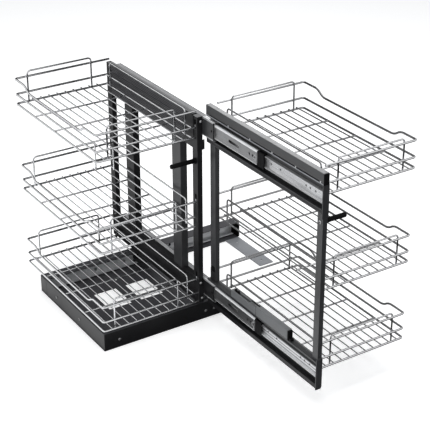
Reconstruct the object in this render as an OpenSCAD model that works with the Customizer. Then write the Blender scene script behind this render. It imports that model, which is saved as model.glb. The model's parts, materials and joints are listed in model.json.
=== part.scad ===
// Blind corner pull out: a carriage of wire baskets that shifts sideways along a floor base,
// with a second stack of wire baskets that pulls forward on telescopic slides.
// X runs right along the base, Y runs back, Z runs up. Millimetres.

/* [Base] */
// Height of the base walls
base_h = 46; // [42:1:60]
// Depth of the base, front wall to back of the rear channel
base_d = 337; // [328:1:420]
// Thickness of the base sheet
sheet_t = 1.5; // [1:0.1:2]
// How far the front wall runs past the carriage frame
base_past = 60; // [40:1:90]
// Depth of the rear channel, front edge to back
channel_d = 32; // [28:1:40]
// Length of the rear channel along X
channel_len = 577; // [576:1:700]
// Width of the turned-in flange on top of the walls
wall_flange = 9; // [5:0.5:10]
// Width of the flat floor strip at the right
strip_w = 42; // [25:1:60]
// Length of the flat floor strip
strip_len = 165; // [80:1:220]
// Thickness of the flat floor strip
strip_t = 2.5; // [2:0.5:4]
// Diameter of the floor screw holes
floor_hole_d = 5.5; // [4:0.1:7]
// Spacing of the floor screw holes along X
floor_hole_dx = 150; // [110:1:180]
// Spacing of the floor screw holes along Y
floor_hole_dy = 240; // [200:1:245]
// Width of a window in the base floor
window_w = 62; // [30:1:80]
// Depth of a window in the base floor
window_d = 84; // [30:1:86]

/* [Carriage frame] */
// How far the carriage shifts to the right
side_travel = 280; // [200:1:285]
// Width of a slotted post along X
post_w = 13; // [12:0.5:16]
// Depth of a slotted post along Y
post_d = 22; // [18:1:30]
// Wall of the tubes
tube_t = 1.5; // [1:0.1:2]
// Width of a wide post along X
wide_post_w = 18; // [14:0.5:19]
// Depth of a wide post along Y
wide_post_d = 38; // [25:1:45]
// Front of the front wide post, from the basket front
wide_post_y = 64; // [50:1:80]
// Back of the rear wide post, from the frame's back
wide_post_back = 96; // [80:1:120]
// Length of the carriage frame along Y
frame_len = 428; // [424:1:434]
// How far the frame stands in front of the baskets
frame_lead = 4; // [2:0.5:8]
// Height of the frame's top
frame_top = 535; // [532:1:560]
// Height of the top beam
top_beam_h = 78; // [60:1:90]
// Height of the bottom beam
low_beam_h = 66; // [56:1:76]
// Gap between the base walls and the bottom beam
frame_lift = 6; // [5:0.5:10]
// Width of a foot along X
foot_w = 38; // [30:1:39]
// Thickness of the feet and brackets
plate_t = 3; // [2:0.5:4]

/* [Slides] */
// Height of the pull-out slides
slide_h = 45; // [42:0.5:46]
// Thickness of the slides
slide_t = 12.7; // [12:0.1:14]
// Length of the pull-out slides
slide_len = 450; // [440:1:455]
// How far the slides stand in front of the base
slide_lead = 54; // [45:1:60]
// How far the front frame pulls out
pull_travel = 386; // [350:1:390]
// Height of the sideways slides
rail_h = 38; // [36:0.5:40]
// Sheet gauge of the slides
gauge = 1.2; // [1:0.1:1.4]
// Diameter of the slide balls
ball_d = 3; // [2.6:0.1:3.2]
// Running gap on each side of a ball
ball_gap = 0.2; // [0.15:0.05:0.4]
// Balls in each row of a cage
balls = 8; // [4:1:12]

/* [Pull-out frame] */
// Length of the pull-out frame along Y
pull_len = 435; // [428:1:445]
// Thickness of the beam web
web_t = 2; // [1.5:0.1:3]
// Height of the bar along the top of the upper beam
top_bar_h = 25; // [18:1:30]
// Height of the lower lip of a beam
lip_h = 11; // [8:0.5:14]
// Gap between the carriage frame and the beam lips
lip_gap = 1.5; // [1:0.1:2]
// Height of the upper beam's bar above the slide
bar_lift = 8; // [4:0.5:12]
// Depth of the front pull-out post along Y
pull_post_d = 19; // [17:0.5:22]
// Depth of the rear pull-out post along Y
rear_post_d = 21; // [16:0.5:24]
// How far the posts stand behind the beam web
post_back = 2.8; // [2.6:0.1:4]
// Height of the damper housing
damper_h = 24; // [18:1:28]
// Length of the damper housing
damper_len = 224; // [180:1:240]
// Travel of the damper catch
catch_travel = 45; // [30:1:50]

/* [Baskets] */
// Width of a left basket
left_w = 250; // [235:1:270]
// Width of a right basket
right_w = 236; // [224:1:260]
// Depth of a left basket
left_d = 411; // [405:1:415]
// Depth of a right basket
right_d = 402; // [396:1:405]
// Height of the left bottom basket's lowest rail above the base
left_lift = 6; // [5:0.5:10]
// Step from the left bottom basket to the middle one
left_step_1 = 206; // [190:1:220]
// Step from the left middle basket to the top one
left_step_2 = 226; // [190:1:230]
// Height of the right bottom basket's lowest rail
right_low = 92; // [80:1:100]
// Step from the right bottom basket to the middle one
right_step_1 = 196; // [180:1:204]
// Step from the right middle basket to the top one
right_step_2 = 224; // [180:1:230]
// Height of the middle rail above the lowest
rail_mid = 24.5; // [20:0.5:30]
// Height of the top rail above the lowest
rail_top = 63.5; // [55:0.5:70]
// Depth of the dip in the outer top rail
rail_dip = 14; // [8:0.5:20]
// Height of the left baskets' loops above the lowest rail
left_loop_top = 80; // [76:0.5:95]
// Height of the right baskets' loops above the lowest rail
right_loop_top = 74; // [71:0.5:95]
// Length of the front and back loops
loop_len = 171; // [140:1:175]
// Inset of the front loop from the outer side
loop_in = 33; // [20:1:40]
// Diameter of the rails
rail_d = 5; // [4.5:0.5:6]
// Diameter of the loops
loop_d = 4; // [3:0.5:4.5]
// Diameter of the floor wires
wire_d = 3; // [2:0.5:4]
// Spacing of the floor wires
wire_pitch = 22; // [20:0.5:30]
// Bend radius of the rails at the basket corners
corner_r = 6; // [5:0.5:12]
// Gap between a left basket and its posts
hang_gap = 7; // [5:0.5:10]

/* [Handles] */
// Diameter of the handle pegs
peg_d = 11; // [8:0.5:13]
// Length of the left handle peg
left_peg_len = 66; // [50:1:80]
// Length of the right handle peg
right_peg_len = 54; // [40:1:70]
// Height of the left handle peg
left_peg_z = 424; // [380:1:440]
// Height of the right handle peg
right_peg_z = 455; // [420:1:462]

/* [Hidden] */
$fn = 48;
weld = 0.6;
touch = 0.1;

// Chain of places along X, from the left face of the base
frame_x = left_w + hang_gap;
slide_x = frame_x + post_w;
web_x = slide_x + slide_t;
lip_x = slide_x + lip_gap;
web_back_x = web_x + web_t;
pull_face_x = web_back_x + post_back;
post_set = 4.5;
pull_post_x = lip_x + post_set;
pull_post_w = pull_face_x - pull_post_x;
right_reach = 4;
right_in_x = pull_face_x + right_reach;
right_out_x = right_in_x + right_w;
base_w = slide_x + base_past;

// Chain of places along Y, from the front face of the base
frame_y0 = -frame_lead;
frame_y1 = frame_y0 + frame_len;
beam_y0 = frame_y0 + post_d;
beam_y1 = frame_y1 - post_d;
beam_len = beam_y1 - beam_y0;
slide_y0 = -slide_lead;
pull_y0 = slide_y0 - pull_travel;
end_plate_t = 3;
pull_front_y = pull_y0 - 15;
post_seat_y = pull_front_y + end_plate_t;
inner_y0 = post_seat_y + 1;
pull_rear_y = pull_front_y + pull_len;
pull_beam_len = pull_rear_y - post_seat_y;
rear_post_y = pull_y0 + right_d + 10 - rear_post_d;
channel_y0 = base_d - channel_d;

// Chain of places along Z, from the floor
low_beam_z0 = base_h + frame_lift;
low_beam_z1 = low_beam_z0 + low_beam_h;
top_beam_z0 = frame_top - top_beam_h;
upper_slide_z = frame_top - slide_h / 2;
lower_slide_z = low_beam_z1 - slide_h / 2;
rail_z = base_h / 2;
top_bar_z0 = upper_slide_z + slide_h / 2 + bar_lift;
top_bar_z1 = top_bar_z0 + top_bar_h;
upper_lip_z = upper_slide_z - slide_h / 2 - lip_h - 1;
lower_lip_z = lower_slide_z - slide_h / 2 - lip_h - 5;
lower_cap_z = low_beam_z1 + 2;
lower_cap_h = 4;
left_low = base_h + left_lift;
left_tiers = [left_low, left_low + left_step_1, left_low + left_step_1 + left_step_2];
right_tiers = [right_low, right_low + right_step_1, right_low + right_step_1 + right_step_2];

// The frame's reference is the centre of the floor screw holes
hole_x0 = 34;
hole_y0 = 42;
ref_x = hole_x0 + floor_hole_dx / 2;
ref_y = hole_y0 + floor_hole_dy / 2;

// Slide section: the outer member holds the middle one, which holds the inner one
race = ball_d + 2 * ball_gap;
member_step = gauge + race;
mid_web_u = gauge + 1.6;
outer_reach = slide_t - 1.2;
mid_reach = slide_t - 1.6;
inner_u = 5;
ball_u = 6.6;
cage_t = 0.8;
cage_w = 4;

// Hooks on the ends of the rails, which drop into tall slots in the posts
hook_w = 4;
hook_h = 10;
hook_len = 2.4;
hook_in = rail_d / 2 + 3;
slot_gap = 1;
slot_up = 13;

// Sideways slide lengths
rail_end = 5;
front_rail_len = base_w - 2 * rail_end;
rear_rail_len = channel_len - 2 * rail_end;
runner_x1 = left_w + hang_gap + foot_w - 8;
runner_len = runner_x1 - 2 * rail_end;

steel_black = [0.13, 0.13, 0.14];
steel_dark = [0.2, 0.2, 0.21];
zinc = [0.78, 0.79, 0.8];
chrome = [0.85, 0.86, 0.88];
plastic_black = [0.05, 0.05, 0.05];
plastic_grey = [0.45, 0.46, 0.47];

function unit(v) = v / norm(v);
function turn(a, b, c) = acos(unit(b - a) * unit(c - b));
function trim(a, b, c, r) = r * tan(turn(a, b, c) / 2);

// Moves the whole part so that its reference is at the origin
module place() {
    translate([-ref_x, -ref_y, 0]) children();
}

// A straight rod between two points
module rod(a, b, d) {
    v = b - a;
    len = norm(v);
    translate(a) rotate([0, acos(v[2] / len), atan2(v[1], v[0])]) cylinder(d = d, h = len);
}

// A round bend at b on the way from a to c
module bend(a, b, c, r, d) {
    t = trim(a, b, c, r);
    angle = turn(a, b, c);
    u = unit(a - b);
    w = unit(c - b);
    centre = b + unit(u + w) * r / cos(angle / 2);
    e1 = unit(b + u * t - centre);
    e3 = unit(cross(e1, b + w * t - centre));
    e2 = cross(e3, e1);
    multmatrix([
        [e1[0], e2[0], e3[0], centre[0]],
        [e1[1], e2[1], e3[1], centre[1]],
        [e1[2], e2[2], e3[2], centre[2]]
    ])
        rotate_extrude(angle = angle) translate([r, 0]) circle(d = d);
}

// A bent wire through the points, rounded at each inner one
module wire(points, r, d) {
    last = len(points) - 1;
    for (i = [0 : last - 1]) {
        a = points[i];
        b = points[i + 1];
        t0 = i == 0 ? 0 : trim(points[i - 1], a, b, r);
        t1 = i == last - 1 ? 0 : trim(a, b, points[i + 2], r);
        rod(a + unit(b - a) * t0, b - unit(b - a) * t1, d);
        if (i < last - 1) bend(a, b, points[i + 2], r, d);
    }
}

// A bar along Y with a section drawn in X and Z
module bar_y(y0, len) {
    translate([0, y0 + len, 0]) rotate([90, 0, 0]) linear_extrude(len) children();
}

// A bar along X with a section drawn in Y and Z
module bar_x(x0, len) {
    translate([x0, 0, 0]) rotate([90, 0, 90]) linear_extrude(len) children();
}

// A screw with a domed head, standing up from z = 0
module screw_head(d, h) {
    rotate_extrude() polygon([[0, 0], [d / 2, 0], [d / 2, h * 0.4], [d / 3, h], [0, h]]);
}

// Slide sections, thickness along the first axis and height along the second
module outer_section(h) {
    lip = 2;
    translate([0, -h / 2]) square([gauge, h]);
    for (s = [-1, 1]) {
        scale_y(s) translate([0, h / 2 - gauge]) square([outer_reach, gauge]);
        scale_y(s) translate([outer_reach - gauge, h / 2 - gauge - lip]) square([gauge, lip + gauge]);
    }
}

module middle_section(h) {
    hm = h - 2 * member_step;
    lip = 1.6;
    bead = 0.9;
    difference() {
        union() {
            translate([mid_web_u, -hm / 2]) square([gauge, hm]);
            translate([mid_web_u - bead, -hm / 5]) square([gauge + bead, hm * 2 / 5]);
        }
        translate([mid_web_u, -hm / 5 + gauge]) square([gauge + 1, hm * 2 / 5 - 2 * gauge]);
    }
    for (s = [-1, 1]) {
        scale_y(s) translate([mid_web_u, hm / 2 - gauge]) square([mid_reach - mid_web_u, gauge]);
        scale_y(s) translate([mid_reach - gauge, hm / 2 - gauge - lip]) square([gauge, lip + gauge]);
    }
}

module inner_section(h, reach) {
    hi = h - 4 * member_step;
    translate([reach - gauge, -hi / 2]) square([gauge, hi]);
    for (s = [-1, 1])
        scale_y(s) translate([inner_u, hi / 2 - gauge]) square([reach - inner_u, gauge]);
}

// Mirrors a section top to bottom when s is -1
module scale_y(s) {
    mirror([0, s < 0 ? 1 : 0]) children();
}

// Rows of balls in their cages, along the first axis
module cage_rows(h, level, len) {
    v = h / 2 - gauge - race / 2 - level * member_step;
    step = len / balls;
    for (s = [-1, 1]) {
        translate([0, ball_u - cage_w / 2, s * v - cage_t / 2]) cube([len, cage_w, cage_t]);
        for (i = [0 : balls - 1])
            translate([step * (i + 0.5), ball_u, s * v]) sphere(d = ball_d);
    }
}

// Pull-out slide members at rest: sections open to the right
module slide_bar(y0, len, z) {
    translate([slide_x, 0, z]) bar_y(y0, len) children();
}

module slide_cage(y0, len, z, level) {
    translate([slide_x, y0, z]) multmatrix([[0, 1, 0, 0], [1, 0, 0, 0], [0, 0, 1, 0]])
        cage_rows(slide_h, level, len);
}

bumper_len = 25;
mid_back = bumper_len + 2;
mid_len = slide_len - mid_back - 6;
inner_len = slide_len;
mid_y0 = slide_y0 + mid_back - pull_travel / 2;
cage_len = slide_len * 0.4;

module slide_outer(z) {
    color(zinc) difference() {
        slide_bar(slide_y0, slide_len, z) outer_section(slide_h);
        for (k = [0.023, 0.5, 0.8])
            translate([slide_x - 1, slide_y0 + slide_len * k, z]) rotate([0, 90, 0])
                cylinder(d = 6, h = gauge + 2);
    }
}

module slide_middle(z) {
    slot_w = 7;
    slot_len = 42;
    slot_y = mid_y0 + 70;
    color(zinc) difference() {
        slide_bar(mid_y0, mid_len, z) middle_section(slide_h);
        translate([slide_x, slot_y, z - slot_w / 2]) cube([mid_web_u + gauge + 1, slot_len, slot_w]);
        for (y = [18, 30])
            translate([slide_x, mid_y0 + y, z]) rotate([0, 90, 0])
                cylinder(d = 6, h = mid_web_u + gauge + 1);
    }
}

module slide_inner(z) {
    hole_d = 5;
    color(zinc) difference() {
        slide_bar(inner_y0, inner_len, z) inner_section(slide_h, slide_t);
        for (y = [34, 52.5, 67, 157.5, 191])
            translate([web_x - gauge - 1, inner_y0 + y, z]) rotate([0, 90, 0])
                cylinder(d = hole_d, h = gauge + 2);
    }
}

// Plastic stop on the front end of a middle member
module slide_bumper(z) {
    hm = slide_h - 2 * member_step;
    hi = slide_h - 4 * member_step;
    clear = 0.4;
    color(plastic_black) translate([slide_x + mid_web_u, mid_y0 - bumper_len, z]) {
        translate([0, 0, -hm / 2]) cube([inner_u - mid_web_u - clear, bumper_len, hm]);
        for (s = [0, 1])
            mirror([0, 0, s]) translate([0, 0, hi / 2 + clear])
                cube([mid_reach - mid_web_u, bumper_len, hm / 2 - hi / 2 - clear]);
    }
}

module outer_cage(z) {
    color(zinc) slide_cage((slide_y0 + mid_y0 + mid_len - cage_len) / 2, cage_len, z, 0);
}

module inner_cage(z) {
    color(zinc) slide_cage((mid_y0 + inner_y0 + inner_len - cage_len) / 2, cage_len, z, 1);
}

// Base
module base_pan() {
    window_x = frame_x - 67;
    window_y = channel_y0 - 61 - window_d;
    color(steel_black) difference() {
        union() {
            cube([base_w, channel_y0, sheet_t]);
            cube([base_w, sheet_t, base_h]);
            cube([sheet_t, channel_y0, base_h]);
            translate([0, 0, base_h - sheet_t]) cube([base_w, wall_flange, sheet_t]);
            translate([0, 0, base_h - sheet_t]) cube([wall_flange, channel_y0, sheet_t]);
        }
        for (x = [window_x, window_x - window_w - 28])
            translate([x, window_y, -1]) cube([window_w, window_d, sheet_t + 2]);
        for (x = [0, 1], y = [0, 1])
            translate([hole_x0 + x * floor_hole_dx, hole_y0 + y * floor_hole_dy, -1])
                cylinder(d = floor_hole_d, h = sheet_t + 2);
    }
}

module rear_channel() {
    color(steel_black) {
        translate([0, base_d - sheet_t, 0]) cube([channel_len, sheet_t, base_h]);
        for (z = [0, base_h - sheet_t])
            translate([0, channel_y0, z]) cube([channel_len, channel_d, sheet_t]);
    }
}

module channel_end_cap() {
    cap_t = 3;
    round_r = 8;
    color(plastic_black) translate([channel_len, channel_y0, 0]) rotate([90, 0, 90]) linear_extrude(cap_t)
        union() {
            translate([round_r, 0]) square([channel_d - round_r, base_h]);
            translate([0, round_r]) square([channel_d, base_h - 2 * round_r]);
            for (z = [round_r, base_h - round_r]) translate([round_r, z]) circle(r = round_r);
        }
}

module floor_strip() {
    color(steel_dark) difference() {
        translate([channel_len - strip_w, channel_y0 - strip_len, 0]) cube([strip_w, strip_len, strip_t]);
        for (k = [0.15, 0.85])
            translate([channel_len - strip_w / 2, channel_y0 - strip_len * k, -1])
                cylinder(d = floor_hole_d, h = strip_t + 2);
    }
}

// Sideways slides: the front one faces back, the rear one faces forward
module front_rail(x0, len) {
    translate([0, sheet_t, rail_z]) bar_x(x0, len) children();
}

module front_rail_outer() {
    color(zinc) front_rail(rail_end, front_rail_len) outer_section(rail_h);
}

module front_rail_middle() {
    color(zinc) front_rail(rail_end, front_rail_len - 4) middle_section(rail_h);
}

module front_rail_inner() {
    color(zinc) front_rail(rail_end, front_rail_len - 6) inner_section(rail_h, slide_t);
}

module rear_rail(x0, len) {
    translate([0, base_d - sheet_t, rail_z]) mirror([0, 1, 0]) bar_x(x0, len) children();
}

module rear_rail_outer() {
    hole_d = 8;
    color(zinc) difference() {
        rear_rail(rail_end, rear_rail_len) outer_section(rail_h);
        for (k = [0.1, 0.38, 0.655, 0.93])
            translate([rail_end + rear_rail_len * k, base_d - sheet_t - gauge - 1, rail_z])
                rotate([-90, 0, 0]) cylinder(d = hole_d, h = gauge + 2);
    }
}

// The runner is as tall as a middle member, and its balls run in its own rows
module rear_rail_runner() {
    hole_d = 9;
    color(zinc) difference() {
        rear_rail(2 * rail_end, runner_len) inner_section(rail_h + 2 * member_step, slide_t);
        for (k = [0.12, 0.5, 0.8])
            translate([2 * rail_end + runner_len * k, base_d - sheet_t - slide_t - 1, rail_z])
                rotate([-90, 0, 0]) cylinder(d = hole_d, h = gauge + 2);
    }
}

module front_rail_cage(level) {
    len = front_rail_len * 0.4;
    x0 = rail_end + front_rail_len / 2 - len / 2;
    color(zinc) translate([x0, sheet_t, rail_z]) cage_rows(rail_h, level, len);
}

module rear_rail_cage() {
    len = runner_len - side_travel / 2 - 4;
    x0 = 2 * rail_end + side_travel / 2;
    color(zinc) translate([x0, base_d - sheet_t, rail_z]) mirror([0, 1, 0]) cage_rows(rail_h, 0, len);
}

module base_screws() {
    head_d = 7;
    head_h = 2;
    wall_screws = [[40, 0.45], [slide_x + 9, 0.45], [slide_x + 33, 0.45]];
    color(zinc) {
        for (s = wall_screws)
            translate([s[0], 0, base_h * s[1]]) rotate([90, 0, 0]) screw_head(head_d, head_h);
        for (y = [0.42, 0.82])
            translate([0, channel_y0 * y, base_h * 0.5]) rotate([0, -90, 0]) screw_head(head_d, head_h);
    }
}

// Carriage feet: bent plates from the bottom beam to the sideways slides
foot_x = frame_x;
foot_y = sheet_t + slide_t;

module front_foot() {
    shelf_d = 62;
    color(steel_dark) bar_x(foot_x, foot_w) {
        translate([foot_y, rail_z - 10]) square([plate_t, low_beam_z0 - rail_z + 10]);
        translate([foot_y, low_beam_z0 - plate_t]) square([shelf_d, plate_t]);
    }
}

module rear_foot() {
    y1 = base_d - sheet_t - slide_t;
    drop_y = channel_y0 - 18;
    shelf_d = 45;
    color(steel_dark) bar_x(foot_x, foot_w) {
        translate([y1 - plate_t, rail_z - 10]) square([plate_t, 20]);
        translate([drop_y, rail_z - plate_t / 2]) square([y1 - drop_y, plate_t]);
        translate([drop_y, rail_z - plate_t / 2]) square([plate_t, low_beam_z0 - rail_z + plate_t / 2]);
        translate([drop_y - shelf_d, low_beam_z0 - plate_t]) square([shelf_d + plate_t, plate_t]);
    }
}

// A hollow beam with long grooves rolled into its left face
module beam_section(h, grooves) {
    groove_d = 1;
    groove_h = 3;
    difference() {
        square([post_w, h]);
        translate([tube_t + groove_d, tube_t]) square([post_w - 2 * tube_t - groove_d, h - 2 * tube_t]);
        for (i = [1 : grooves])
            translate([-1, h * i / (grooves + 1) - groove_h / 2]) square([groove_d + 1, groove_h]);
    }
}

module lower_beam() {
    color(steel_black) translate([frame_x, 0, low_beam_z0]) bar_y(beam_y0, beam_len)
        beam_section(low_beam_h, 2);
}

module upper_beam() {
    color(steel_black) translate([frame_x, 0, top_beam_z0]) bar_y(beam_y0, beam_len)
        beam_section(top_beam_h, 4);
}

// Tall slots in a post's side face, one for each basket
module tall_slots(x, y, tiers, rises) {
    for (i = [0 : 2])
        translate([x - 1.5, y - hook_w / 2 - slot_gap, tiers[i] + rises[i] - hook_h / 2])
            cube([tube_t + 3, hook_w + 2 * slot_gap, hook_h + slot_up]);
}

module tube_post(x, y, z, w, d, h, top_t) {
    difference() {
        translate([x, y, z]) cube([w, d, h]);
        translate([x + tube_t, y + tube_t, z - 1]) cube([w - 2 * tube_t, d - 2 * tube_t, h + 1 - top_t]);
    }
}

left_hook_y = [hook_in, left_d];
left_hook_z = [rail_top, rail_top, rail_mid];
right_hook_z = [rail_top, rail_top, 0];
left_peg_y = frame_y0 + post_d / 2;
right_hook_y = [pull_y0 + rail_d / 2 - 1, pull_y0 + right_d - rail_d / 2];

module slotted_post(y, hook_y) {
    color(steel_black) difference() {
        tube_post(frame_x, y, low_beam_z0, post_w, post_d, frame_top - low_beam_z0, tube_t);
        tall_slots(frame_x, hook_y, left_tiers, left_hook_z);
    }
}

module rear_slotted_post() {
    slotted_post(beam_y1, left_hook_y[1]);
}

module front_slotted_post() {
    slotted_post(frame_y0, left_hook_y[0]);
}

module wide_post(y) {
    h = top_beam_z0 - low_beam_z1;
    color(steel_dark) tube_post(slide_x - wide_post_w, y, low_beam_z1, wide_post_w, wide_post_d, h, -1);
}

module rear_wide_post() {
    wide_post(frame_y1 - wide_post_back - wide_post_d);
}

module front_wide_post() {
    wide_post(wide_post_y);
}

// Corner bracket at the frame's top: a side plate and a flange that wraps the front
gusset_t = 1.5;

module front_gusset() {
    side_d = 62;
    side_h = 84;
    flange_w = gusset_t + post_w;
    round_r = 6;
    notch_z = left_tiers[2] - rail_d / 2 - 1;
    notch_y = -1;
    notch_d = left_hook_y[0] + hook_w + 1 - notch_y;
    color(steel_black) {
        difference() {
            translate([frame_x - gusset_t, frame_y0 - gusset_t, frame_top - side_h + 4])
                cube([gusset_t, side_d, side_h - 4]);
            translate([frame_x - gusset_t - 1, notch_y, notch_z]) cube([gusset_t + 2, notch_d, side_h]);
        }
        translate([frame_x - gusset_t, frame_y0, frame_top]) rotate([90, 0, 0]) linear_extrude(gusset_t)
            union() {
                translate([0, -side_h + round_r]) square([flange_w, side_h - round_r]);
                translate([0, -side_h]) square([flange_w - round_r, side_h]);
                translate([flange_w - round_r, -side_h + round_r]) circle(r = round_r);
            }
    }
}

// Plate over the foot of the front post
module front_bracket() {
    plate_w = post_w;
    color(steel_black) translate([frame_x, frame_y0 - gusset_t, low_beam_z0])
        cube([plate_w, gusset_t, low_beam_h]);
}

module carriage_screws() {
    head_d = 6;
    head_h = 2;
    y = frame_y0 - gusset_t;
    low_heads = [[frame_x + 5, low_beam_z1 - 12], [frame_x + 8, low_beam_z0 + 12]];
    heads = concat([[frame_x + 8, frame_top - 12]], low_heads);
    color(zinc) for (s = heads)
        translate([s[0], y, s[1]]) rotate([90, 0, 0]) screw_head(head_d, head_h);
}

// A round handle with a collar and a rounded tip, along +Z
module peg(len) {
    tip_r = 3;
    collar_d = peg_d + 4;
    collar_h = 3;
    rotate_extrude() union() {
        square([collar_d / 2, collar_h]);
        square([peg_d / 2, len - tip_r]);
        square([peg_d / 2 - tip_r, len]);
        translate([peg_d / 2 - tip_r, len - tip_r]) intersection() {
            circle(r = tip_r);
            square(tip_r);
        }
    }
}

module left_handle_peg() {
    color(plastic_black) translate([frame_x, left_peg_y, left_peg_z])
        rotate([0, -90, 0]) peg(left_peg_len);
}

module right_handle_peg() {
    color(plastic_black) translate([pull_face_x, post_seat_y + pull_post_d / 2, right_peg_z])
        rotate([0, 90, 0]) peg(right_peg_len);
}

// Pull-out beams: a web behind the slide, with a bar or lip above and below it
module hollow_bar(w, h) {
    difference() {
        square([w, h]);
        translate([tube_t, tube_t]) square([w - 2 * tube_t, h - 2 * tube_t]);
    }
}

lip_w = web_back_x - lip_x;

module pull_upper_beam() {
    color(steel_dark) {
        bar_y(post_seat_y, pull_beam_len) {
            translate([web_x, upper_lip_z]) square([web_t, top_bar_z1 - upper_lip_z]);
            translate([lip_x, upper_lip_z]) hollow_bar(lip_w, lip_h);
        }
        bar_y(pull_front_y, pull_len) translate([lip_x, top_bar_z0]) hollow_bar(lip_w, top_bar_h);
    }
}

module pull_lower_beam() {
    color(steel_dark) bar_y(post_seat_y, pull_beam_len) {
        translate([web_x, lower_lip_z]) square([web_t, lower_cap_z + lower_cap_h - lower_lip_z]);
        translate([lip_x, lower_cap_z]) square([lip_w, lower_cap_h]);
        translate([lip_x, lower_lip_z]) hollow_bar(lip_w, lip_h);
    }
}

// A plate on the front end of a beam, with one rounded lower corner
module end_plate(z0, z1) {
    w = pull_face_x - lip_x;
    round_r = 6;
    translate([lip_x, post_seat_y, z0]) rotate([90, 0, 0]) linear_extrude(end_plate_t) union() {
        translate([0, round_r]) square([w, z1 - z0 - round_r]);
        square([w - round_r, round_r]);
        translate([w - round_r, round_r]) circle(r = round_r);
    }
}

// A post between the beams, with a strap up its back behind their webs
module pull_post(y, d) {
    z0 = lower_cap_z + lower_cap_h;
    tube_post(pull_post_x, y, z0, pull_post_w, d, upper_lip_z - z0, -1);
    translate([web_back_x, y, lower_lip_z]) cube([post_back, d, top_bar_z0 - lower_lip_z]);
}

module pull_front_post() {
    plate_over = 12;
    color(steel_dark) {
        difference() {
            pull_post(post_seat_y, pull_post_d);
            tall_slots(pull_face_x - tube_t, right_hook_y[0], right_tiers, right_hook_z);
        }
        end_plate(upper_lip_z - plate_over, top_bar_z0);
        end_plate(lower_lip_z - 4, lower_cap_z + lower_cap_h + plate_over / 2);
    }
}

module pull_rear_post() {
    color(steel_dark) difference() {
        pull_post(rear_post_y, rear_post_d);
        tall_slots(pull_face_x - tube_t, right_hook_y[1], right_tiers, right_hook_z);
    }
}

module pull_end_caps() {
    cap_t = 2;
    color(plastic_black) for (y = [pull_front_y - cap_t, pull_rear_y])
        translate([lip_x, y, top_bar_z0]) cube([lip_w, cap_t, top_bar_h]);
}

module pull_screws() {
    head_d = 6;
    head_h = 1.8;
    color(zinc) for (y = [0.35, 0.65], z = [upper_slide_z, lower_slide_z])
        translate([web_back_x, post_seat_y + pull_beam_len * y, z])
            rotate([0, 90, 0]) screw_head(head_d, head_h);
}

// Soft-close damper on top of the lower beam
damper_z = lower_cap_z + lower_cap_h;
damper_y1 = pull_rear_y - 102;
damper_y0 = damper_y1 - damper_len;
damper_step = 0.44;
catch_w = 5;
catch_len = 16;
slot_depth = 8;
low_part_h = damper_h - 6;
catch_x = lip_x + lip_w / 2 - catch_w / 2;
slot_z = damper_z + low_part_h - slot_depth;

module damper_housing() {
    slot_len = catch_travel + catch_len + 2;
    color(plastic_grey) difference() {
        union() {
            translate([lip_x, damper_y0, damper_z]) cube([lip_w, damper_len, low_part_h]);
            translate([lip_x, damper_y0, damper_z]) cube([lip_w, damper_len * (1 - damper_step), damper_h]);
        }
        translate([catch_x - 0.5, damper_y1 - slot_len - 8, slot_z])
            cube([catch_w + 1, slot_len, slot_depth + damper_h]);
    }
}

module damper_catch() {
    head = 4;
    y = damper_y1 - 9 - catch_len;
    color(plastic_black) translate([catch_x, y, slot_z + 0.3]) {
        cube([catch_w, catch_len, slot_depth + 1]);
        cube([catch_w, 5, slot_depth + head]);
        translate([0, catch_len - 5, 0]) cube([catch_w, 5, slot_depth + head]);
    }
}

// Baskets, drawn with the outer side at x = 0 and the inner side at x = w
module basket_place(side, z) {
    if (side == "left") translate([0, 0, z]) children();
    else translate([right_out_x, pull_y0, z]) mirror([1, 0, 0]) children();
}

function u_rail(w, d, z, r) = [[w, r, z], [r, r, z], [r, d - r, z], [w, d - r, z]];

// The top rail runs level at the corners and dips along the outer side
ramp_y = 44;
ramp_cos = 0.8;
ramp_r = rail_dip / (2 - 2 * ramp_cos);
ramp_len = 3 * rail_dip;

module ramp_arc() {
    rotate_extrude(angle = acos(ramp_cos)) translate([ramp_r, 0]) circle(d = rail_d);
}

module dip_half(end_x, d, z) {
    r = rail_d / 2;
    wire([[end_x, r, z], [r, r, z], [r, ramp_y, z]], corner_r, rail_d);
    multmatrix([[0, 0, -1, r], [0, 1, 0, ramp_y], [1, 0, 0, z - ramp_r]]) ramp_arc();
    low_z = z - rail_dip;
    multmatrix([[0, 0, -1, r], [0, -1, 0, ramp_y + ramp_len], [-1, 0, 0, low_z + ramp_r]]) ramp_arc();
    rod([r, ramp_y + ramp_len, low_z], [r, d / 2, low_z], rail_d);
}

module dip_rail(end_x, d, z) {
    dip_half(end_x, d, z);
    translate([0, d, 0]) mirror([0, 1, 0]) dip_half(end_x, d, z);
}

// An upright loop of wire on legs, from the lowest rail up
function loop_x(x0, x1, y, z) = [[x0, y, 0], [x0, y, z], [x1, y, z], [x1, y, 0]];

// A tab on the end of a rail, which drops into a tall slot
module rail_hook(face, y, z) {
    translate([face - weld, y - hook_w / 2, z - hook_h / 2]) cube([weld + hook_len, hook_w, hook_h]);
}

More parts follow.
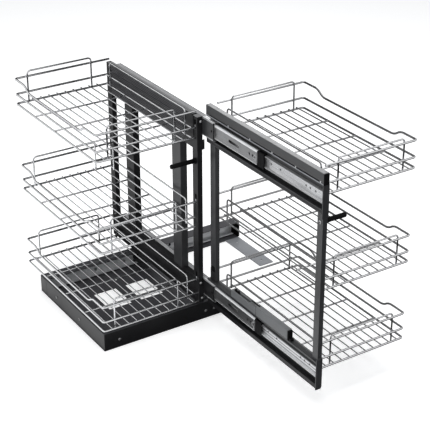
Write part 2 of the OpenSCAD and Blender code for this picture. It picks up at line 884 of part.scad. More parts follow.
module basket_rim(w, d, reach, top, inner_rise, hook_y, hook_rail) {
    r = rail_d / 2;
    bend_r = 8;
    leg_y = rail_d + loop_d / 2 - weld;
    inner_x = w - r;
    leg_x = inner_x - loop_d + weld;
    leg_in = 28;
    end_x = w + reach;
    loop_z = top - loop_d / 2;
    color(chrome) {
        wire(u_rail(end_x, d, 0, r), corner_r, rail_d);
        wire(u_rail(end_x, d, rail_mid, r), corner_r, rail_d);
        dip_rail(end_x, d, rail_top);
        for (y = [leg_y, d - leg_y])
            wire(loop_x(loop_in, loop_in + loop_len, y, loop_z), bend_r, loop_d);
        wire([
            [leg_x, leg_in, 0], [leg_x, leg_in, inner_rise],
            [leg_x, d - leg_in, inner_rise], [leg_x, d - leg_in, 0]
        ], bend_r, loop_d);
        for (z = [0, rail_mid])
            rod([inner_x, r, z], [inner_x, d - r, z], loop_d);
        for (y = hook_y) rail_hook(end_x, y, hook_rail);
    }
}

module basket_floor(w, d) {
    z = rail_d / 2 + wire_d / 2 + touch;
    bar_z = z - wire_d / 2 - loop_d / 2 + weld;
    bar_end = rail_d + touch;
    count = floor((w - 2 * rail_d - wire_d) / wire_pitch);
    color(chrome) {
        for (i = [1 : count])
            rod([i * wire_pitch, 0.5, z], [i * wire_pitch, d - 0.5, z], wire_d);
        for (y = [0.25, 0.5, 0.75])
            rod([bar_end, d * y, bar_z], [w - bar_end, d * y, bar_z], loop_d);
    }
}

module left_rim(i) {
    basket_place("left", left_tiers[i])
        basket_rim(left_w, left_d, hang_gap, left_loop_top, rail_top, left_hook_y, left_hook_z[i]);
}

module left_floor(i) {
    basket_place("left", left_tiers[i]) basket_floor(left_w, left_d);
}

module right_rim(i) {
    hooks = [for (y = right_hook_y) y - pull_y0];
    basket_place("right", right_tiers[i])
        basket_rim(right_w, right_d, right_reach, right_loop_top, rail_top - 6, hooks, right_hook_z[i]);
}

module right_floor(i) {
    basket_place("right", right_tiers[i]) basket_floor(right_w, right_d);
}

place() base_pan();
place() rear_channel();
place() channel_end_cap();
place() floor_strip();
place() front_rail_outer();
place() rear_rail_outer();
place() base_screws();
place() front_rail_middle();
place() front_rail_inner();
place() rear_rail_runner();
place() front_rail_cage(0);  // front_outer_cage
place() front_rail_cage(1);  // front_inner_cage
place() rear_rail_cage();  // rear_cage
place() front_foot();
place() rear_foot();
place() lower_beam();
place() upper_beam();
place() rear_slotted_post();
place() front_slotted_post();
place() rear_wide_post();
place() front_wide_post();
place() front_gusset();
place() front_bracket();
place() carriage_screws();
place() left_handle_peg();
place() slide_outer(upper_slide_z);  // upper_slide_outer
place() slide_outer(lower_slide_z);  // lower_slide_outer
place() slide_middle(upper_slide_z);  // upper_slide_middle
place() slide_middle(lower_slide_z);  // lower_slide_middle
place() slide_bumper(upper_slide_z);  // upper_slide_bumper
place() slide_bumper(lower_slide_z);  // lower_slide_bumper
place() slide_inner(upper_slide_z);  // upper_slide_inner
place() slide_inner(lower_slide_z);  // lower_slide_inner
place() outer_cage(upper_slide_z);  // upper_outer_cage
place() inner_cage(upper_slide_z);  // upper_inner_cage
place() outer_cage(lower_slide_z);  // lower_outer_cage
place() inner_cage(lower_slide_z);  // lower_inner_cage
place() pull_upper_beam();
place() pull_lower_beam();
place() pull_front_post();
place() pull_rear_post();
place() pull_end_caps();
place() pull_screws();
place() right_handle_peg();
place() damper_housing();
place() damper_catch();
place() left_rim(2);  // left_top_rim
place() left_floor(2);  // left_top_floor
place() left_rim(1);  // left_middle_rim
place() left_floor(1);  // left_middle_floor
place() left_rim(0);  // left_bottom_rim
place() left_floor(0);  // left_bottom_floor
place() right_rim(2);  // right_top_rim
place() right_floor(2);  // right_top_floor
place() right_rim(1);  // right_middle_rim
place() right_floor(1);  // right_middle_floor
place() right_rim(0);  // right_bottom_rim
place() right_floor(0);  // right_bottom_floor
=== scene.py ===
"""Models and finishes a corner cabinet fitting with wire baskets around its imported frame."""
import json
import math

import bmesh
import bpy
from bpy.props import FloatProperty, FloatVectorProperty, IntProperty, PointerProperty
from mathutils import Matrix, Vector


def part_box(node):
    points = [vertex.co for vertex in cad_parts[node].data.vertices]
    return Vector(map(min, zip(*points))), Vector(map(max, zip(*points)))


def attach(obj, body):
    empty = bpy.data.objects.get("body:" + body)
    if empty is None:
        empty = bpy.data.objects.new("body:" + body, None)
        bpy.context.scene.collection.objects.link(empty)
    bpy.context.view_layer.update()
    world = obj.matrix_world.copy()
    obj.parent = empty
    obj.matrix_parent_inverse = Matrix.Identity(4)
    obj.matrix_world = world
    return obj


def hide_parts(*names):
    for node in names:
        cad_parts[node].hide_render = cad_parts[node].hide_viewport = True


bl_info = {
    "name": "Blind corner pull out",
    "version": (1, 0, 0),
    "blender": (4, 5, 0),
    "location": "3D View > Sidebar > Corner",
    "description": "Models and finishes a corner cabinet fitting with wire baskets",
    "category": "Object",
}

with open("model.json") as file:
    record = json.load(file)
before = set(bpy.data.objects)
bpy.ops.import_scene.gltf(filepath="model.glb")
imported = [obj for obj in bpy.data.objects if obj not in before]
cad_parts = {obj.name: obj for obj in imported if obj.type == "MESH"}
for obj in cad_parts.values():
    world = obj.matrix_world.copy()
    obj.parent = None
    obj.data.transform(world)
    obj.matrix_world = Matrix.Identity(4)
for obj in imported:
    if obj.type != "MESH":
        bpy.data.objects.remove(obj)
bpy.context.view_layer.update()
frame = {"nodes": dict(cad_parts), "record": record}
MM = 0.001
BODY_OF = {node: body for body, nodes in frame["record"]["behaviour"]["bodies"].items() for node in nodes}
SLOT_OF = {row["node"]: row["material_slot"] for row in frame["record"]["subparts"]}
FRONT, LEFT, RIGHT, UP, DOWN = (0, -1, 0), (-1, 0, 0), (1, 0, 0), (0, 0, 1), (0, 0, -1)
RIGHT_HAND = -1.0  # mesh.spin turns clockwise about its axis


def low(node):
    """Lowest corner of a CAD node."""
    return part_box(node)[0]


def high(node):
    """Highest corner of a CAD node."""
    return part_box(node)[1]


def size_of(node):
    """Width, depth and height of a CAD node in millimetres."""
    return (high(node) - low(node)) / MM


def spot(x, y, z):
    """A place given in millimetres from the base's front left corner."""
    return low("base_pan") + Vector((x, y, z)) * MM


# Sizes and colours


class WireSizes(bpy.types.PropertyGroup):
    """Sizes of the basket wires."""

    rail: FloatProperty(
        name="Rail", description="Diameter of the basket rails", default=5 * MM, unit="LENGTH")
    loop: FloatProperty(
        name="Loop", description="Diameter of the upright loops", default=4 * MM, unit="LENGTH")
    grille: FloatProperty(
        name="Grille", description="Diameter of the floor wires", default=3 * MM, unit="LENGTH")
    pitch: FloatProperty(
        name="Pitch", description="Spacing of the floor wires", default=22 * MM, unit="LENGTH")
    corner: FloatProperty(
        name="Corner", description="Bend radius of the rails at the corners", default=6 * MM, unit="LENGTH")
    bend: FloatProperty(
        name="Bend", description="Bend radius of the loops", default=8 * MM, unit="LENGTH")
    dip: FloatProperty(
        name="Dip", description="How far the outer top rail dips", default=14 * MM, unit="LENGTH")
    middle_rise: FloatProperty(
        name="Middle rise", description="Height of the middle rail", default=24.5 * MM, unit="LENGTH")
    top_rise: FloatProperty(
        name="Top rise", description="Height of the top rail", default=63.5 * MM, unit="LENGTH")
    left_loop_rise: FloatProperty(
        name="Left loop rise", description="Centre line of the left baskets' loops", default=78 * MM,
        unit="LENGTH")
    right_loop_rise: FloatProperty(
        name="Right loop rise", description="Centre line of the right baskets' loops", default=72 * MM,
        unit="LENGTH")


class FinishColours(bpy.types.PropertyGroup):
    """Colours of the finishes."""

    powder_black: FloatVectorProperty(
        name="Black coat", description="Powder coat of the frame", subtype="COLOR",
        default=(0.011, 0.011, 0.012))
    powder_grey: FloatVectorProperty(
        name="Grey coat", description="Powder coat of the posts", subtype="COLOR",
        default=(0.03, 0.031, 0.033))
    zinc: FloatVectorProperty(
        name="Zinc", description="Plated slide steel", subtype="COLOR", default=(0.62, 0.625, 0.635))
    chrome: FloatVectorProperty(
        name="Chrome", description="Polished basket wire", subtype="COLOR", default=(0.7, 0.706, 0.72))
    black_plastic: FloatVectorProperty(
        name="Black moulding", description="Pegs, caps and stops", subtype="COLOR",
        default=(0.006, 0.006, 0.0065))
    grey_plastic: FloatVectorProperty(
        name="Grey moulding", description="Damper housing", subtype="COLOR", default=(0.16, 0.165, 0.17))


class EdgeSizes(bpy.types.PropertyGroup):
    """How the sheet edges are rounded."""

    sheet: FloatProperty(
        name="Sheet edge", description="Rounding of folded sheet", default=0.5 * MM, unit="LENGTH")
    gauge: FloatProperty(
        name="Slide edge", description="Rounding of rolled slide steel", default=0.3 * MM, unit="LENGTH")
    moulding: FloatProperty(
        name="Moulding edge", description="Rounding of moulded parts", default=0.8 * MM, unit="LENGTH")
    steps: IntProperty(
        name="Steps", description="Faces across a rounded edge", default=2, min=1, max=4)


class StudioLight(bpy.types.PropertyGroup):
    """Light and floor of the studio."""

    key: FloatProperty(
        name="Key", description="Power of the large lamp overhead", default=42.0, unit="POWER")
    fill: FloatProperty(
        name="Fill", description="Power of the lamp at the left", default=16.0, unit="POWER")
    rim: FloatProperty(
        name="Rim", description="Power of the lamp behind at the right", default=6.5, unit="POWER")
    surround: FloatProperty(
        name="Surround", description="Strength of the soft light all round", default=0.4)
    floor: FloatVectorProperty(
        name="Floor", description="Colour of the floor", subtype="COLOR", default=(0.9, 0.9, 0.9))
    floor_size: FloatProperty(
        name="Floor size", description="Radius of the floor", default=9.0, unit="LENGTH")


# Nodes and node groups


def put(tree, kind, inputs=None, **settings):
    """Adds a node, with settings on the node and values or links on its inputs."""
    node = tree.nodes.new(kind)
    for key, value in settings.items():
        setattr(node, key, value)
    for key, value in (inputs or {}).items():
        socket = node.inputs[key]
        if isinstance(value, bpy.types.NodeSocket):
            tree.links.new(value, socket)
        else:
            socket.default_value = value
    return node


def maths(tree, operation, *values):
    """Result of a maths node, kept between 0 and 1."""
    node = put(tree, "ShaderNodeMath", dict(enumerate(values)), operation=operation, use_clamp=True)
    return node.outputs[0]


def noise(tree, vector, scale, detail, roughness=0.6):
    """Fractal noise between 0 and 1."""
    return put(tree, "ShaderNodeTexNoise", {
        "Vector": vector, "Scale": scale, "Detail": detail, "Roughness": roughness}).outputs["Fac"]


def to_range(tree, value, lowest, highest, start=0.3, end=0.7):
    """Maps a mask from its usual spread to a range."""
    return put(tree, "ShaderNodeMapRange", {
        "Value": value, "From Min": start, "From Max": end, "To Min": lowest, "To Max": highest,
    }).outputs["Result"]


def bands(tree, coords, scale, most, start):
    """Mask of level bands, from 0 to the most."""
    wave = put(tree, "ShaderNodeTexWave", {"Vector": coords, "Scale": scale}, bands_direction="Z")
    return to_range(tree, wave.outputs["Fac"], 0.0, most, start, 0.95)


def upward(tree):
    """Mask of the faces that look up."""
    normal = put(tree, "ShaderNodeNewGeometry").outputs["Normal"]
    height = put(tree, "ShaderNodeSeparateXYZ", {"Vector": normal}).outputs["Z"]
    return to_range(tree, height, 0.0, 1.0, 0.6, 0.95)


def shade(colour, factor):
    """A colour made lighter or darker, as RGBA."""
    return (*[min(1.0, c * factor) for c in colour], 1.0)


def mix_colour(tree, factor, a, b):
    """Mixes two colours, each a socket or RGBA."""
    return put(tree, "ShaderNodeMix", {0: factor, 6: a, 7: b}, data_type="RGBA").outputs[2]


def bump(tree, height, strength, distance):
    """Normal of a bump."""
    return put(tree, "ShaderNodeBump", {
        "Height": height, "Strength": strength, "Distance": distance}).outputs["Normal"]


def new_group(name, inputs, outputs):
    """Makes a shader node group with vector or value inputs and value outputs, and gives its end sockets."""
    tree = bpy.data.node_groups.new(name, "ShaderNodeTree")
    for title, value in inputs.items():
        kind = "NodeSocketVector" if value is None else "NodeSocketFloat"
        socket = tree.interface.new_socket(title, in_out="INPUT", socket_type=kind)
        if value is not None:
            socket.default_value = value
    for title in outputs:
        tree.interface.new_socket(title, in_out="OUTPUT", socket_type="NodeSocketFloat")
    return tree, tree.nodes.new("NodeGroupInput").outputs, tree.nodes.new("NodeGroupOutput").inputs


def edge_wear_group():
    """Mask of rubbed edges: where a rounded normal leaves the flat one, broken up by grain."""
    tree, given, result = new_group(
        "Edge wear", {"Vector": None, "Radius": 0.8 * MM, "Amount": 1.0, "Grain": 300.0}, ["Mask"])
    rounded = put(tree, "ShaderNodeBevel", {"Radius": given["Radius"]}, samples=4).outputs["Normal"]
    flat = put(tree, "ShaderNodeNewGeometry").outputs["Normal"]
    turn = put(tree, "ShaderNodeVectorMath", {0: rounded, 1: flat}, operation="DOT_PRODUCT").outputs["Value"]
    chips = to_range(tree, noise(tree, given["Vector"], given["Grain"], 3.0, 0.5), 0.3, 1.0, 0.35, 0.65)
    rubbed = maths(tree, "MULTIPLY", to_range(tree, turn, 0.0, 1.0, 0.99, 0.8), chips)
    tree.links.new(maths(tree, "MULTIPLY", rubbed, given["Amount"]), result["Mask"])
    return tree


def coat_group():
    """Sprayed or moulded skin: fine pimples for bump and a slow drift of tone."""
    tree, given, result = new_group(
        "Coat skin", {"Vector": None, "Grain": 900.0, "Drift": 9.0}, ["Height", "Tone"])
    pimples = noise(tree, given["Vector"], given["Grain"], 2.0)
    drift = noise(tree, given["Vector"], given["Drift"], 4.0, 0.65)
    speck = maths(tree, "MULTIPLY", pimples, 0.35)
    tree.links.new(pimples, result["Height"])
    tree.links.new(maths(tree, "MULTIPLY_ADD", drift, 0.65, speck), result["Tone"])
    return tree


def rolled_group():
    """Rolled steel: fine streaks along one axis over cloudy plating."""
    tree, given, result = new_group(
        "Rolled grain", {"Vector": None, "Stretch": None, "Cloud": 60.0}, ["Streak", "Cloud"])
    factors = {0: given["Vector"], 1: given["Stretch"]}
    stretched = put(tree, "ShaderNodeVectorMath", factors, operation="MULTIPLY").outputs["Vector"]
    tree.links.new(noise(tree, stretched, 1.0, 3.0), result["Streak"])
    tree.links.new(noise(tree, given["Vector"], given["Cloud"], 5.0), result["Cloud"])
    return tree


GROUPS = {}


def use_group(tree, build, inputs):
    """Places a node group in a material, built the first time it is used, and gives its outputs."""
    if build not in GROUPS:
        GROUPS[build] = build()
    return put(tree, "ShaderNodeGroup", inputs, node_tree=GROUPS[build]).outputs


# Finishes


def blank_material(name):
    """A material with no nodes, and its node tree."""
    material = bpy.data.materials.new(name)
    material.use_nodes = True
    material.node_tree.nodes.clear()
    return material, material.node_tree


def object_coords(tree):
    """Coordinates that stay with the piece."""
    return put(tree, "ShaderNodeTexCoord").outputs["Object"]


def dress(tree, metallic, colour, roughness, normal, gloss=0.5):
    """Joins the maps of a finish in a Principled shader."""
    shader = put(tree, "ShaderNodeBsdfPrincipled", {
        "Metallic": metallic, "Base Color": colour, "Roughness": roughness, "Normal": normal,
        "Specular IOR Level": gloss})
    put(tree, "ShaderNodeOutputMaterial", {"Surface": shader.outputs["BSDF"]})


def coated(name, colour, edge_lift, grain, rough, depth, gloss=0.5, rib_highlights=0.0, dust=0.0):
    """Powder coat or moulding: skin, tone drift, rubbed edges and, if asked for, painted highlights on level
    ribs and painted light on the faces that look up.
    """
    material, tree = blank_material(name)
    coords = object_coords(tree)
    skin = use_group(tree, coat_group, {"Vector": coords, "Grain": grain, "Drift": 9.0})
    wear = use_group(tree, edge_wear_group, {"Vector": coords, "Radius": 0.9 * MM, "Amount": 0.75})
    tone = to_range(tree, skin["Tone"], 0.0, 1.0)
    base = mix_colour(tree, tone, shade(colour, 0.8), shade(colour, 1.25))
    # painted highlights: level bands eight times lighter stand in for the lit crests of ribs
    if rib_highlights:
        base = mix_colour(tree, bands(tree, coords, rib_highlights, 1.0, 0.45), base, shade(colour, 8.0))
    # painted light: faces that look up are made lighter, as if lit from above
    if dust:
        base = mix_colour(tree, upward(tree), base, shade(colour, dust))
    base = mix_colour(tree, wear["Mask"], base, shade(colour, edge_lift))
    pimples = bump(tree, skin["Height"], depth, 0.15 * MM)
    dress(tree, 0.0, base, to_range(tree, skin["Tone"], *rough), pimples, gloss)
    return material


def plated(name, colour, stretch, rough, metal=0.5, lines=0.0):
    """Passivated zinc plate over rolled steel, partly dull and, if asked for, with dark level lines of
    painted shade for grooves.
    """
    material, tree = blank_material(name)
    coords = object_coords(tree)
    grain = use_group(tree, rolled_group, {"Vector": coords, "Stretch": stretch, "Cloud": 22.0})
    wear = use_group(tree, edge_wear_group, {"Vector": coords, "Radius": 0.5 * MM, "Amount": 0.6})
    cloud = to_range(tree, grain["Cloud"], 0.0, 1.0)
    base = mix_colour(tree, cloud, shade(colour, 0.9), shade(colour, 1.06))
    base = mix_colour(tree, to_range(tree, grain["Streak"], 0.0, 0.35), base, shade(colour, 0.75))
    # painted shade: dark level bands stand in for the shade in grooves
    if lines:
        base = mix_colour(tree, bands(tree, coords, lines, 0.8, 0.6), base, shade(colour, 0.12))
    base = mix_colour(tree, wear["Mask"], base, shade(colour, 1.45))
    streaks = bump(tree, grain["Streak"], 0.12, 0.1 * MM)
    dress(tree, metal, base, to_range(tree, grain["Streak"], *rough), streaks)
    return material


def chromed(name, colour):
    """Polished chrome with faint smears."""
    material, tree = blank_material(name)
    smear = use_group(tree, coat_group, {"Vector": object_coords(tree), "Grain": 260.0, "Drift": 24.0})
    tone = to_range(tree, smear["Tone"], 0.0, 1.0)
    base = mix_colour(tree, tone, shade(colour, 0.9), shade(colour, 1.08))
    smears = bump(tree, smear["Height"], 0.03, 0.1 * MM)
    dress(tree, 1.0, base, to_range(tree, smear["Tone"], 0.06, 0.17), smears)
    return material


BLACK_COAT = {"edge_lift": 3.2, "grain": 1100.0, "rough": (0.3, 0.46), "depth": 0.22, "gloss": 0.3}
GREY_COAT = {"edge_lift": 2.2, "grain": 1100.0, "rough": (0.3, 0.44), "depth": 0.22, "gloss": 0.6}
LIGHT_COAT = {**GREY_COAT, "edge_lift": 1.6, "depth": 0.2}
BLACK_MOULDING = {"edge_lift": 2.0, "grain": 700.0, "rough": (0.4, 0.55), "depth": 0.12, "gloss": 0.06}
GREY_MOULDING = {"edge_lift": 1.5, "grain": 700.0, "rough": (0.42, 0.58), "depth": 0.12}
LONG_GRAIN = {"stretch": (2600.0, 14.0, 2600.0), "rough": (0.2, 0.38)}
CROSS_GRAIN = {"stretch": (14.0, 2600.0, 2600.0), "rough": (0.22, 0.4)}
EVEN_GRAIN = {"stretch": (300.0, 300.0, 300.0), "rough": (0.4, 0.55)}
HIGHLIGHT_GRAIN = {**LONG_GRAIN, "rough": (0.25, 0.4), "metal": 0.1}

# Each finish: its maker, the material's name, its colour, how much lighter that is made, and its settings
FINISH_TABLE = {
    "powder_black": (coated, "Powder coat black", "powder_black", 1.0, BLACK_COAT),
    # painted highlights on the ribs of the carriage's upper beam
    "powder_black-rib_highlights": (coated, "Powder coat ribbed", "powder_black", 1.0, {**BLACK_COAT, "rib_highlights": 70.0}),
    # painted light on the tops of the base pan and the rear channel
    "powder_black-lit_top": (coated, "Powder coat dusty", "powder_black", 1.0, {**BLACK_COAT, "dust": 6.0}),
    "powder_grey": (coated, "Powder coat grey", "powder_grey", 1.0, GREY_COAT),
    # nine times lighter grey coat: a painted highlight on the top bar's edge bead; the floor strip takes it
    # as a lighter grey
    "powder_light": (coated, "Powder coat rubbed", "powder_grey", 9.0, LIGHT_COAT),
    "zinc": (plated, "Zinc plate long", "zinc", 1.0, LONG_GRAIN),
    # painted light: a lighter, less metallic copy of the zinc, so the rails under the frame look lit
    "zinc-lit_across": (plated, "Zinc plate across", "zinc", 1.42, {**CROSS_GRAIN, "metal": 0.1}),
    # a lighter copy of the zinc with painted groove shade, for the lower inner member
    "zinc-groove_shaded": (plated, "Zinc plate lined", "zinc", 1.3, {**LONG_GRAIN, "metal": 0.3, "lines": 45.0}),
    "zinc-dull": (plated, "Zinc plate dull", "zinc", 0.55, EVEN_GRAIN),
    "zinc-shade": (plated, "Zinc plate shade", "zinc", 0.2, {**LONG_GRAIN, "rough": (0.3, 0.45)}),
    # painted shade: a darker copy of the zinc for the upper middle member
    "zinc-dim_shade": (plated, "Zinc plate worn", "zinc", 0.46, {**LONG_GRAIN, "rough": (0.25, 0.42)}),
    # painted highlight: a lit, less metallic copy of the zinc
    "zinc-highlight": (plated, "Zinc plate bright", "zinc", 1.42, HIGHLIGHT_GRAIN),
    "chrome": (chromed, "Chrome wire", "chrome", 1.0, {}),
    "black_plastic": (coated, "Moulded black", "black_plastic", 1.0, BLACK_MOULDING),
    "grey_plastic": (coated, "Moulded grey", "grey_plastic", 1.0, GREY_MOULDING),
}
FINISHES = {}


def finish_named(finish):
    """The material of a finish, made once."""
    if finish not in FINISHES:
        maker, name, colour, factor, settings = FINISH_TABLE[finish]
        tint = shade(getattr(bpy.context.scene.corner_colours, colour), factor)[:3]
        FINISHES[finish] = maker(name, tint, **settings)
    return FINISHES[finish]


# Bench: helpers for modelling with operators


def clear_selection():
    """Leaves edit mode and deselects everything."""
    if bpy.context.object and bpy.context.object.mode != "OBJECT":
        bpy.ops.object.mode_set(mode="OBJECT")
    bpy.ops.object.select_all(action="DESELECT")


def pick(piece):
    """Leaves edit mode and makes a piece the only selected one."""
    clear_selection()
    piece.select_set(True)
    bpy.context.view_layer.objects.active = piece


def edit(piece):
    """Opens a piece for editing with all of it selected."""
    pick(piece)
    bpy.ops.object.mode_set(mode="EDIT")
    bpy.ops.mesh.select_mode(type="VERT")
    bpy.ops.mesh.select_all(action="SELECT")


def choose(test, kind="faces"):
    """Selects the faces or edges of the edited mesh that pass a test."""
    bpy.ops.mesh.select_mode(type={"faces": "FACE", "edges": "EDGE"}[kind])
    bpy.ops.mesh.select_all(action="DESELECT")
    mesh = bmesh.from_edit_mesh(bpy.context.object.data)
    found = [part for part in getattr(mesh, kind) if test(part)]
    if not found:
        raise RuntimeError(f"nothing to select on {bpy.context.object.name}")
    for part in found:
        part.select_set(True)
    mesh.select_flush_mode()
    bmesh.update_edit_mesh(bpy.context.object.data)


def add_modifier(piece, kind, **settings):
    """Adds a modifier and applies it."""
    pick(piece)
    modifier = piece.modifiers.new(kind.lower(), kind)
    for key, value in settings.items():
        setattr(modifier, key, value)
    bpy.ops.object.modifier_apply(modifier=modifier.name)


def round_edges(piece, width, steps=2, angle=35.0):
    """Rounds the sharp edges of a piece, keeping its flats flat."""
    add_modifier(piece, "BEVEL", width=width, segments=steps, limit_method="ANGLE",
                 angle_limit=math.radians(angle), use_clamp_overlap=False, harden_normals=True)


def repeat(piece, count, step):
    """Repeats a piece along a step in its mesh."""
    add_modifier(piece, "ARRAY", count=count, use_relative_offset=False, use_constant_offset=True,
                 constant_offset_displace=step)


def cut_away(piece, tools):
    """Cuts tools out of a piece and deletes them."""
    for tool in tools:
        add_modifier(piece, "BOOLEAN", object=tool, operation="DIFFERENCE", solver="EXACT")
        bpy.data.objects.remove(tool, do_unlink=True)


def smooth(piece, angle=35.0):
    """Shades a piece smooth up to an angle."""
    pick(piece)
    bpy.ops.object.shade_smooth_by_angle(angle=math.radians(angle))


def tidy_mesh(piece):
    """Merges doubles and turns the faces outwards."""
    edit(piece)
    bpy.ops.mesh.remove_doubles(threshold=0.001 * MM)
    bpy.ops.mesh.normals_make_consistent(inside=False)
    bpy.ops.object.mode_set(mode="OBJECT")


def named(piece, name):
    """Names a piece and its mesh."""
    piece.name = piece.data.name = name
    return piece


def applied():
    """The new primitive, with its place and size in its mesh."""
    bpy.ops.object.transform_apply(location=True, rotation=True, scale=True)
    return bpy.context.object


def hand_over(piece, body, slot, nodes=(), finish=None):
    """Gives a finished piece its material, from its finish or else its slot, puts it on its body and hides
    the CAD nodes it stands for.
    """
    if not piece.data.polygons:
        raise RuntimeError(f"{piece.name} has no faces")
    piece.data.materials.clear()
    piece.data.materials.append(finish_named(finish or slot))
    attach(piece, body)
    if nodes:
        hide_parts(*nodes)


def join(pieces, name):
    """Joins pieces into the first one."""
    pick(pieces[0])
    for piece in pieces:
        piece.select_set(True)
    if len(pieces) > 1:
        bpy.ops.object.join()
    return named(pieces[0], name)


def copy_of(piece, name):
    """A copy of a piece with its own mesh."""
    twin = piece.copy()
    twin.data = piece.data.copy()
    bpy.context.scene.collection.objects.link(twin)
    return named(twin, name)


def set_along(piece, place, facing):
    """Moves a piece in its mesh so that its Z points along a direction at a place."""
    turn = Vector(facing).to_track_quat("Z", "Y").to_matrix().to_4x4()
    piece.data.transform(Matrix.Translation(Vector(place)) @ turn)
    return piece


def rounded_copy(node, width, steps, cuts=()):
    """A copy of a CAD node with merged faces, further cuts and rounded edges."""
    piece = bpy.data.objects.new(f"{node}_rounded", frame["nodes"][node].data.copy())
    bpy.context.scene.collection.objects.link(piece)
    edit(piece)
    bpy.ops.mesh.customdata_custom_splitnormals_clear()
    bpy.ops.mesh.remove_doubles(threshold=0.002 * MM)
    bpy.ops.mesh.dissolve_limited(angle_limit=math.radians(0.5), delimit={"NORMAL"})
    cut_away(piece, cuts)
    smooth(piece)
    round_edges(piece, width, steps)
    return piece


def part_off(piece, name, place, normal):
    """Cuts a piece in two at a plane: it keeps the side the normal points to, and the rest is returned."""
    rest = copy_of(piece, name)
    for half, keeps_front in ((piece, True), (rest, False)):
        edit(half)
        bpy.ops.mesh.bisect(plane_co=place, plane_no=normal, use_fill=True,
                            clear_inner=keeps_front, clear_outer=not keeps_front)
        smooth(half)
    return rest


def cube_between(lowest, highest):
    """A cube stretched between two corners."""
    lowest, highest = Vector(lowest), Vector(highest)
    clear_selection()
    bpy.ops.mesh.primitive_cube_add(size=1.0, location=(lowest + highest) / 2, scale=highest - lowest)
    return applied()


def bar_between(start, end, diameter, sides):
    """A round bar between two points."""
    start, end = Vector(start), Vector(end)
    clear_selection()
    bpy.ops.mesh.primitive_cylinder_add(
        vertices=sides, radius=diameter / 2, depth=(end - start).length, location=(start + end) / 2,
        rotation=(end - start).to_track_quat("Z", "Y").to_euler())
    return applied()


def rounded_block(name, lowest, highest, edge, steps=2):
    """A plate or block between two corners, with rounded edges."""
    piece = cube_between(lowest, highest)
    smooth(piece)
    round_edges(piece, edge, steps)
    return named(piece, name)


def span_corners(carrier, span):
    """Two corners from spans in X, Y and Z, in millimetres from a carrier's lowest corner."""
    return [low(carrier) + Vector(corner) * MM for corner in zip(*span)]


def fit_blocks(name, carrier, slot, spans, edge, finish=None, cuts=()):
    """Blocks at spans of a carrier, with edges in millimetres, joined to one piece that rides with it."""
    blocks = [rounded_block(name, *span_corners(carrier, span), edge * MM) for span in spans]
    piece = join(blocks, name)
    cut_away(piece, cuts)
    hand_over(piece, BODY_OF[carrier], slot, finish=finish)


def hole_tool(place, diameter, depth):
    """A round punch along X."""
    half = Vector((depth / 2, 0, 0))
    return bar_between(place - half, place + half, diameter, 24)


def slot_tool(lowest, highest):
    """A long punch along Y with round ends."""
    tool = cube_between(lowest, highest)
    edit(tool)
    choose(lambda edge: abs((edge.verts[0].co - edge.verts[1].co).normalized().x) > 0.9, "edges")
    bpy.ops.mesh.bevel(offset=(highest.z - lowest.z) * 0.499, segments=6, affect="EDGES")
    bpy.ops.object.mode_set(mode="OBJECT")
    return tool


def open_line(points):
    """A new piece open for editing, with a line drawn through points and selected."""
    points = [Vector(point) for point in points]
    clear_selection()
    bpy.ops.mesh.primitive_plane_add(size=1 * MM, location=(0, 0, 0))
    piece = bpy.context.object
    edit(piece)
    bpy.ops.mesh.merge(type="CENTER")
    bpy.ops.transform.translate(value=points[0])
    for here, there in zip(points, points[1:]):
        bpy.ops.mesh.extrude_region_move(TRANSFORM_OT_translate={"value": there - here})
    bpy.ops.mesh.select_all(action="SELECT")
    return piece


def rolled_sheet(points, y0, y1, gauge):
    """A strip rolled to a section in X and Z, run along Y and given its gauge."""
    piece = open_line([(x, y0, z) for x, z in points])
    bpy.ops.mesh.extrude_region_move(TRANSFORM_OT_translate={"value": (0, y1 - y0, 0)})
    add_modifier(piece, "SOLIDIFY", thickness=gauge, offset=0.0, use_even_offset=True)
    tidy_mesh(piece)
    return piece


def turned(profile, name, sides=32):
    """A piece turned round Z from radii and heights in millimetres, which start and end on the axis."""
    piece = open_line([(r * MM, 0, z * MM) for r, z in profile])
    bpy.ops.mesh.spin(steps=sides, angle=2 * math.pi, center=(0, 0, 0), axis=UP)
    tidy_mesh(piece)
    smooth(piece, 40.0)
    return named(piece, name)


# Wire


class WirePen:
    """Draws round wire in the mesh being edited: a ring is extruded along runs and spun round bends."""

    def __init__(self, point, heading, diameter, sides=12):
        self.at, self.way = Vector(point), Vector(heading).normalized()
        tilt = self.way.to_track_quat("Z", "Y").to_euler()
        bpy.ops.mesh.primitive_circle_add(
            vertices=sides, radius=diameter / 2, fill_type="NGON", location=self.at, rotation=tilt)

    def run(self, length):
        """Straight on."""
        if length < 0.0001 * MM:
            return
        step = self.way * length
        bpy.ops.mesh.extrude_region_move(TRANSFORM_OT_translate={"value": step})
        self.at = self.at + step

    def turn(self, axis, angle, radius, steps=7):
        """Round a bend, right-handed about an axis."""
        axis = Vector(axis).normalized()
        centre = self.at + axis.cross(self.way) * radius
        bpy.ops.mesh.spin(steps=steps, angle=RIGHT_HAND * angle, center=centre, axis=axis)
        spun = Matrix.Rotation(angle, 4, axis)
        self.at = centre + spun @ (self.at - centre)
        self.way = (spun @ self.way).normalized()


def open_wire():
    """A new empty piece, open for drawing wire."""
    piece = open_line([(0, 0, 0)])
    bpy.ops.mesh.delete(type="VERT")
    return piece


def draw_wire(points, radius, diameter, sides=12):
    """Draws a wire through points, rounded at each inner one."""
    points = [Vector(point) for point in points]
    pen = WirePen(points[0], points[1] - points[0], diameter, sides)
    for corner, after in zip(points[1:], points[2:]):
        onward = (after - corner).normalized()
        angle = pen.way.angle(onward)
        pen.run((corner - pen.at).length - radius * math.tan(angle / 2))
        pen.turn(pen.way.cross(onward), angle, radius)
    pen.run((points[-1] - pen.at).length)


